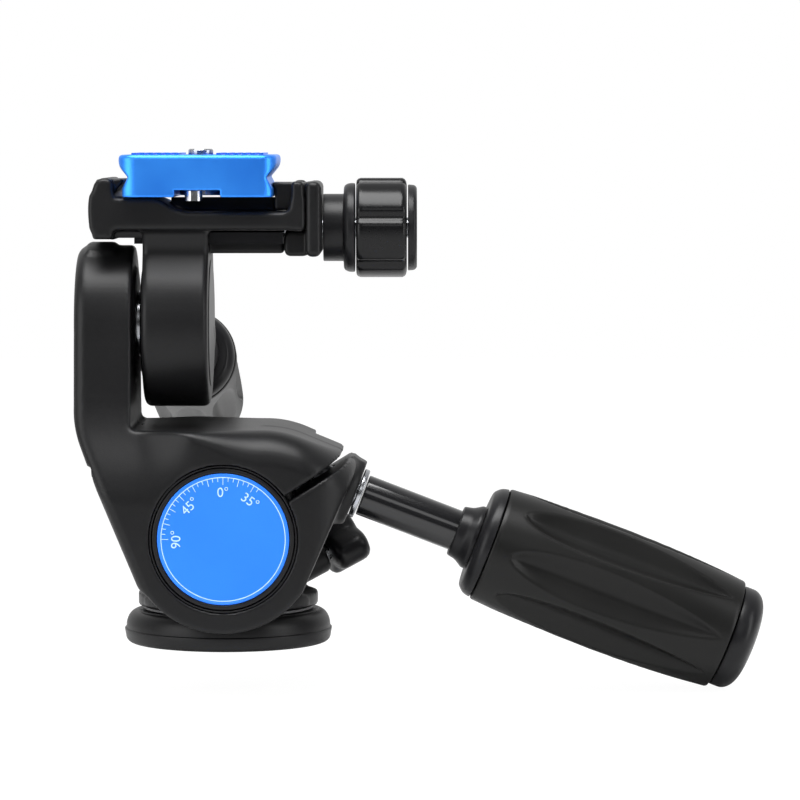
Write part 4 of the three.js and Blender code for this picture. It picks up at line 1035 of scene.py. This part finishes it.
piece("clamp_end", *turned(ring_cap, 96), "clamp_knob", "plastic_black", ["clamp_knob_cap"],
      ALONG_CLAMP)


# %% [markdown]
# The pan lock knob has three lobes with wide hollows between them. They come
# from the same cosine with a low power, which makes the hollows wide.

# %% Pan lock knob
PAN_LOCK_BORE, PAN_KNOB_RADIUS = 2.3, 8.6
knob_outline = ([(PAN_LOCK_BORE, 14.0), (6.8, 14.0), (7.6, 14.2), (8.3, 14.8),
                 (PAN_KNOB_RADIUS, 15.6)]
                + [(PAN_KNOB_RADIUS, 16.2 + 0.6 * i) for i in range(8)]
                + [(8.5, 21.3), (8.1, 22.2), (7.3, 22.9), (6.2, 23.3), (0.0, 23.4), (0.0, 20.2),
                   (PAN_LOCK_BORE, 20.2)])
piece("pan_knob", *turned(knob_outline, 192, lobes(3, 3.0, 2.4, 4.0, math.radians(15))),
      "pan_lock", "plastic_black", ["pan_lock_knob"], PAN_LOCK_LINE)


# %% [markdown]
# A flat cover closes the hub's face and the bore behind it. It is turned
# about the lateral axis and lies nearly flush with the casting.

# %% Hub cover
hub_cover = eased([(0.0, -9.9), (7.0, -9.9), (7.0, -4.3), (15.8, -4.3), (15.8, -4.0, 0.15),
                   (15.2, -3.9, 0.2), (0.0, -3.85)])
piece("hub_cover", *turned(hub_cover, 128), "platform", "plastic_black", ["hub_cap"],
      ALONG_LATERAL)


# %% [markdown]
# The quick-release plate is a milled dovetail with rounded corners in plan,
# blasted and anodised blue. The dovetail's section, the plan and the height
# are three distances that round into each other, and the slot for the camera
# screw is cut through, with a wider pocket for its head below.

# %% Quick-release plate
PLATE_X = -6.6
PLATE_LONG = 20.0
PLATE_HALF, PLATE_WAIST, PLATE_FOOT = 19.6, 17.0, 18.5
WAIST_Z, PLATE_TOP = 116.4, 121.9


def plate_formula(x, y, z):
    dx = abs(x - PLATE_X)
    groove = dx - PLATE_WAIST - high(z - WAIST_Z, 0.0) * 0.8667 - high(WAIST_Z - z, 0.0) * 0.536
    wall = both(groove * 0.8, dx - PLATE_HALF, 0.9)
    wall = high(wall, low(dx - PLATE_FOOT, 113.6 - z))
    plan = both(dx - PLATE_HALF, abs(y) - PLATE_LONG, 4.8)
    block = both(both(wall, plan, 0.5), z - PLATE_TOP, 1.1)
    block = both(block, 111.5 - z, 0.3)
    block = without(block, high(high(dx - 5.6, z - 113.2), y - 15.0), 0.3)
    narrow = length(dx, high(abs(y) - 8.6, 0.0)) - 3.4
    block = without(block, narrow, 0.3)
    pocket = high(length(dx, high(abs(y) - 5.7, 0.0)) - 5.6, z - 116.2)
    return without(block, pocket, 0.3)


field_piece("plate_body", plate_formula, ((-27.0, -20.6, 111.0), (15.0, 20.6, 122.4)), 0.3,
            "plate", "anodised_blue", ["quick_release_plate"])


# %% [markdown]
# Twelve low ribs along the plate's top grip the camera. They are one bar,
# repeated by Geometry Nodes on a line of points, with the middle left free.

# %% Plate ribs
RIBS, RIB_PITCH, RIB_FIRST = 12, 2.1, 5.15
RIB_SIZE = (1.1, 34.0, 0.5)


def make_ribs():
    sheet, (step, start) = geometry_sheet("plate_ribs", "Pitch", "Inner")
    points = sheet.get("GeometryNodeMeshLine", None, {"Count": RIBS})
    index = sheet.get("GeometryNodeInputIndex")
    right = sheet.sum("GREATER_THAN", index, RIBS / 2 - 0.5)
    place = start + (index - right * (RIBS / 2)) * step
    signed = place * (right * 2.0 - 1.0)
    spot = sheet.get("ShaderNodeCombineXYZ", None, {
        "X": signed + PLATE_X * MM, "Y": 0.0, "Z": (PLATE_TOP + 0.2) * MM})
    placed = sheet.get("GeometryNodeSetPosition", None, {"Geometry": points, "Position": spot})
    bar = sheet.get("GeometryNodeMeshCube", None, {"Size": Vector(RIB_SIZE) * MM})
    bars = sheet.get("GeometryNodeInstanceOnPoints", None, {"Points": placed, "Instance": bar})
    sizes = {"Pitch": RIB_PITCH * MM, "Inner": RIB_FIRST * MM}
    baked("plate_ribs", sheet, bars, "anodised_blue", sizes, "plate")


make_ribs()


# %% [markdown]
# Black satin shows only what it mirrors, so the lamps are large and soft. One
# hangs overhead, one stands on each side, and a weak one fills from the
# front. All of them aim at the middle of the head.

# %% Light
MIDDLE = Vector((20.0, 0.0, 60.0))


def area(name, place, size, power):
    data = bpy.data.lights.new(name, "AREA")
    data.shape = "RECTANGLE"
    data.size, data.size_y = size[0] * MM, size[1] * MM
    data.energy = power
    lamp = bpy.data.objects.new(name, data)
    bpy.context.collection.objects.link(lamp)
    spot = Vector(place) * MM
    lamp.location = spot
    lamp.rotation_euler = (MIDDLE * MM - spot).to_track_quat("-Z", "Y").to_euler()
    print(name, "watts", power)


area("top_softbox", (-20, -120, 520), (420, 260), 4.4)
area("left_softbox", (-470, -330, 150), (420, 560), 2.6)
area("right_softbox", (520, -240, 160), (160, 560), 1.5)
area("front_fill", (160, -900, 520), (420, 260), 0.75)


# %% [markdown]
# The studio behind the head is white and the room in front of it is dim, as
# where a product stands before a white sweep. Faces that turn to the camera
# stay dark, and edges that turn away catch the white.

# %% Studio
FRONT, BACK = -0.5, 0.8
DIM, WHITE = 0.06, 0.85


def make_world():
    world = bpy.data.worlds.new("studio")
    bpy.context.scene.world = world
    world.use_nodes = True
    tree = world.node_tree
    tree.nodes.clear()
    sheet = Sheet(tree)
    seen = sheet.get("ShaderNodeLightPath", output="Is Camera Ray")
    through = sheet.get("ShaderNodeLightPath", output="Is Transmission Ray")
    along = sheet.split(sheet.get("ShaderNodeTexCoord", output="Generated"))[1]
    behind = sheet.get("ShaderNodeMapRange", {"interpolation_type": "SMOOTHSTEP"},
                       {0: along, 1: FRONT, 2: BACK, 3: DIM, 4: WHITE})
    strength = high(high(seen, through), behind)
    light = sheet.get("ShaderNodeBackground", None, {"Color": (1, 1, 1, 1), "Strength": strength})
    sheet.node("ShaderNodeOutputWorld", None, {0: light})
    return world


print("world", make_world().name)


# %% [markdown]
# The floor lies half a millimetre below the lowest point, which is the end of
# the lowered grip and not the base. The camera sees it nearly white, while
# light bounces off it as off a pale board.

# %% Floor
FLOOR_HALF, FLOOR_GAP = 1500.0, 0.5


def make_floor():
    half = FLOOR_HALF * MM
    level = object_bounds()[0][2] - FLOOR_GAP * MM
    mesh = bpy.data.meshes.new("floor")
    mesh.from_pydata([(-half, -half, level), (half, -half, level), (half, half, level),
                      (-half, half, level)], [], [(0, 1, 2, 3)])
    material, sheet = shader_sheet("pale_floor")
    seen = sheet.get("ShaderNodeLightPath", output="Is Camera Ray")
    plain = sheet.get("ShaderNodeBsdfDiffuse", None, {"Color": (0.8, 0.8, 0.8, 1)})
    glow = sheet.get("ShaderNodeEmission", None, {"Color": (1, 1, 1, 1), "Strength": 1.12})
    blend = sheet.get("ShaderNodeMixShader", None, {0: seen * 0.86, 1: plain, 2: glow})
    sheet.node("ShaderNodeOutputMaterial", None, {0: blend})
    mesh.materials.append(material)
    floor = bpy.data.objects.new("floor", mesh)
    bpy.context.collection.objects.link(floor)
    floor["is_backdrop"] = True
    return level


print("floor at", make_floor())
bpy.context.scene.view_settings.view_transform = "Standard"
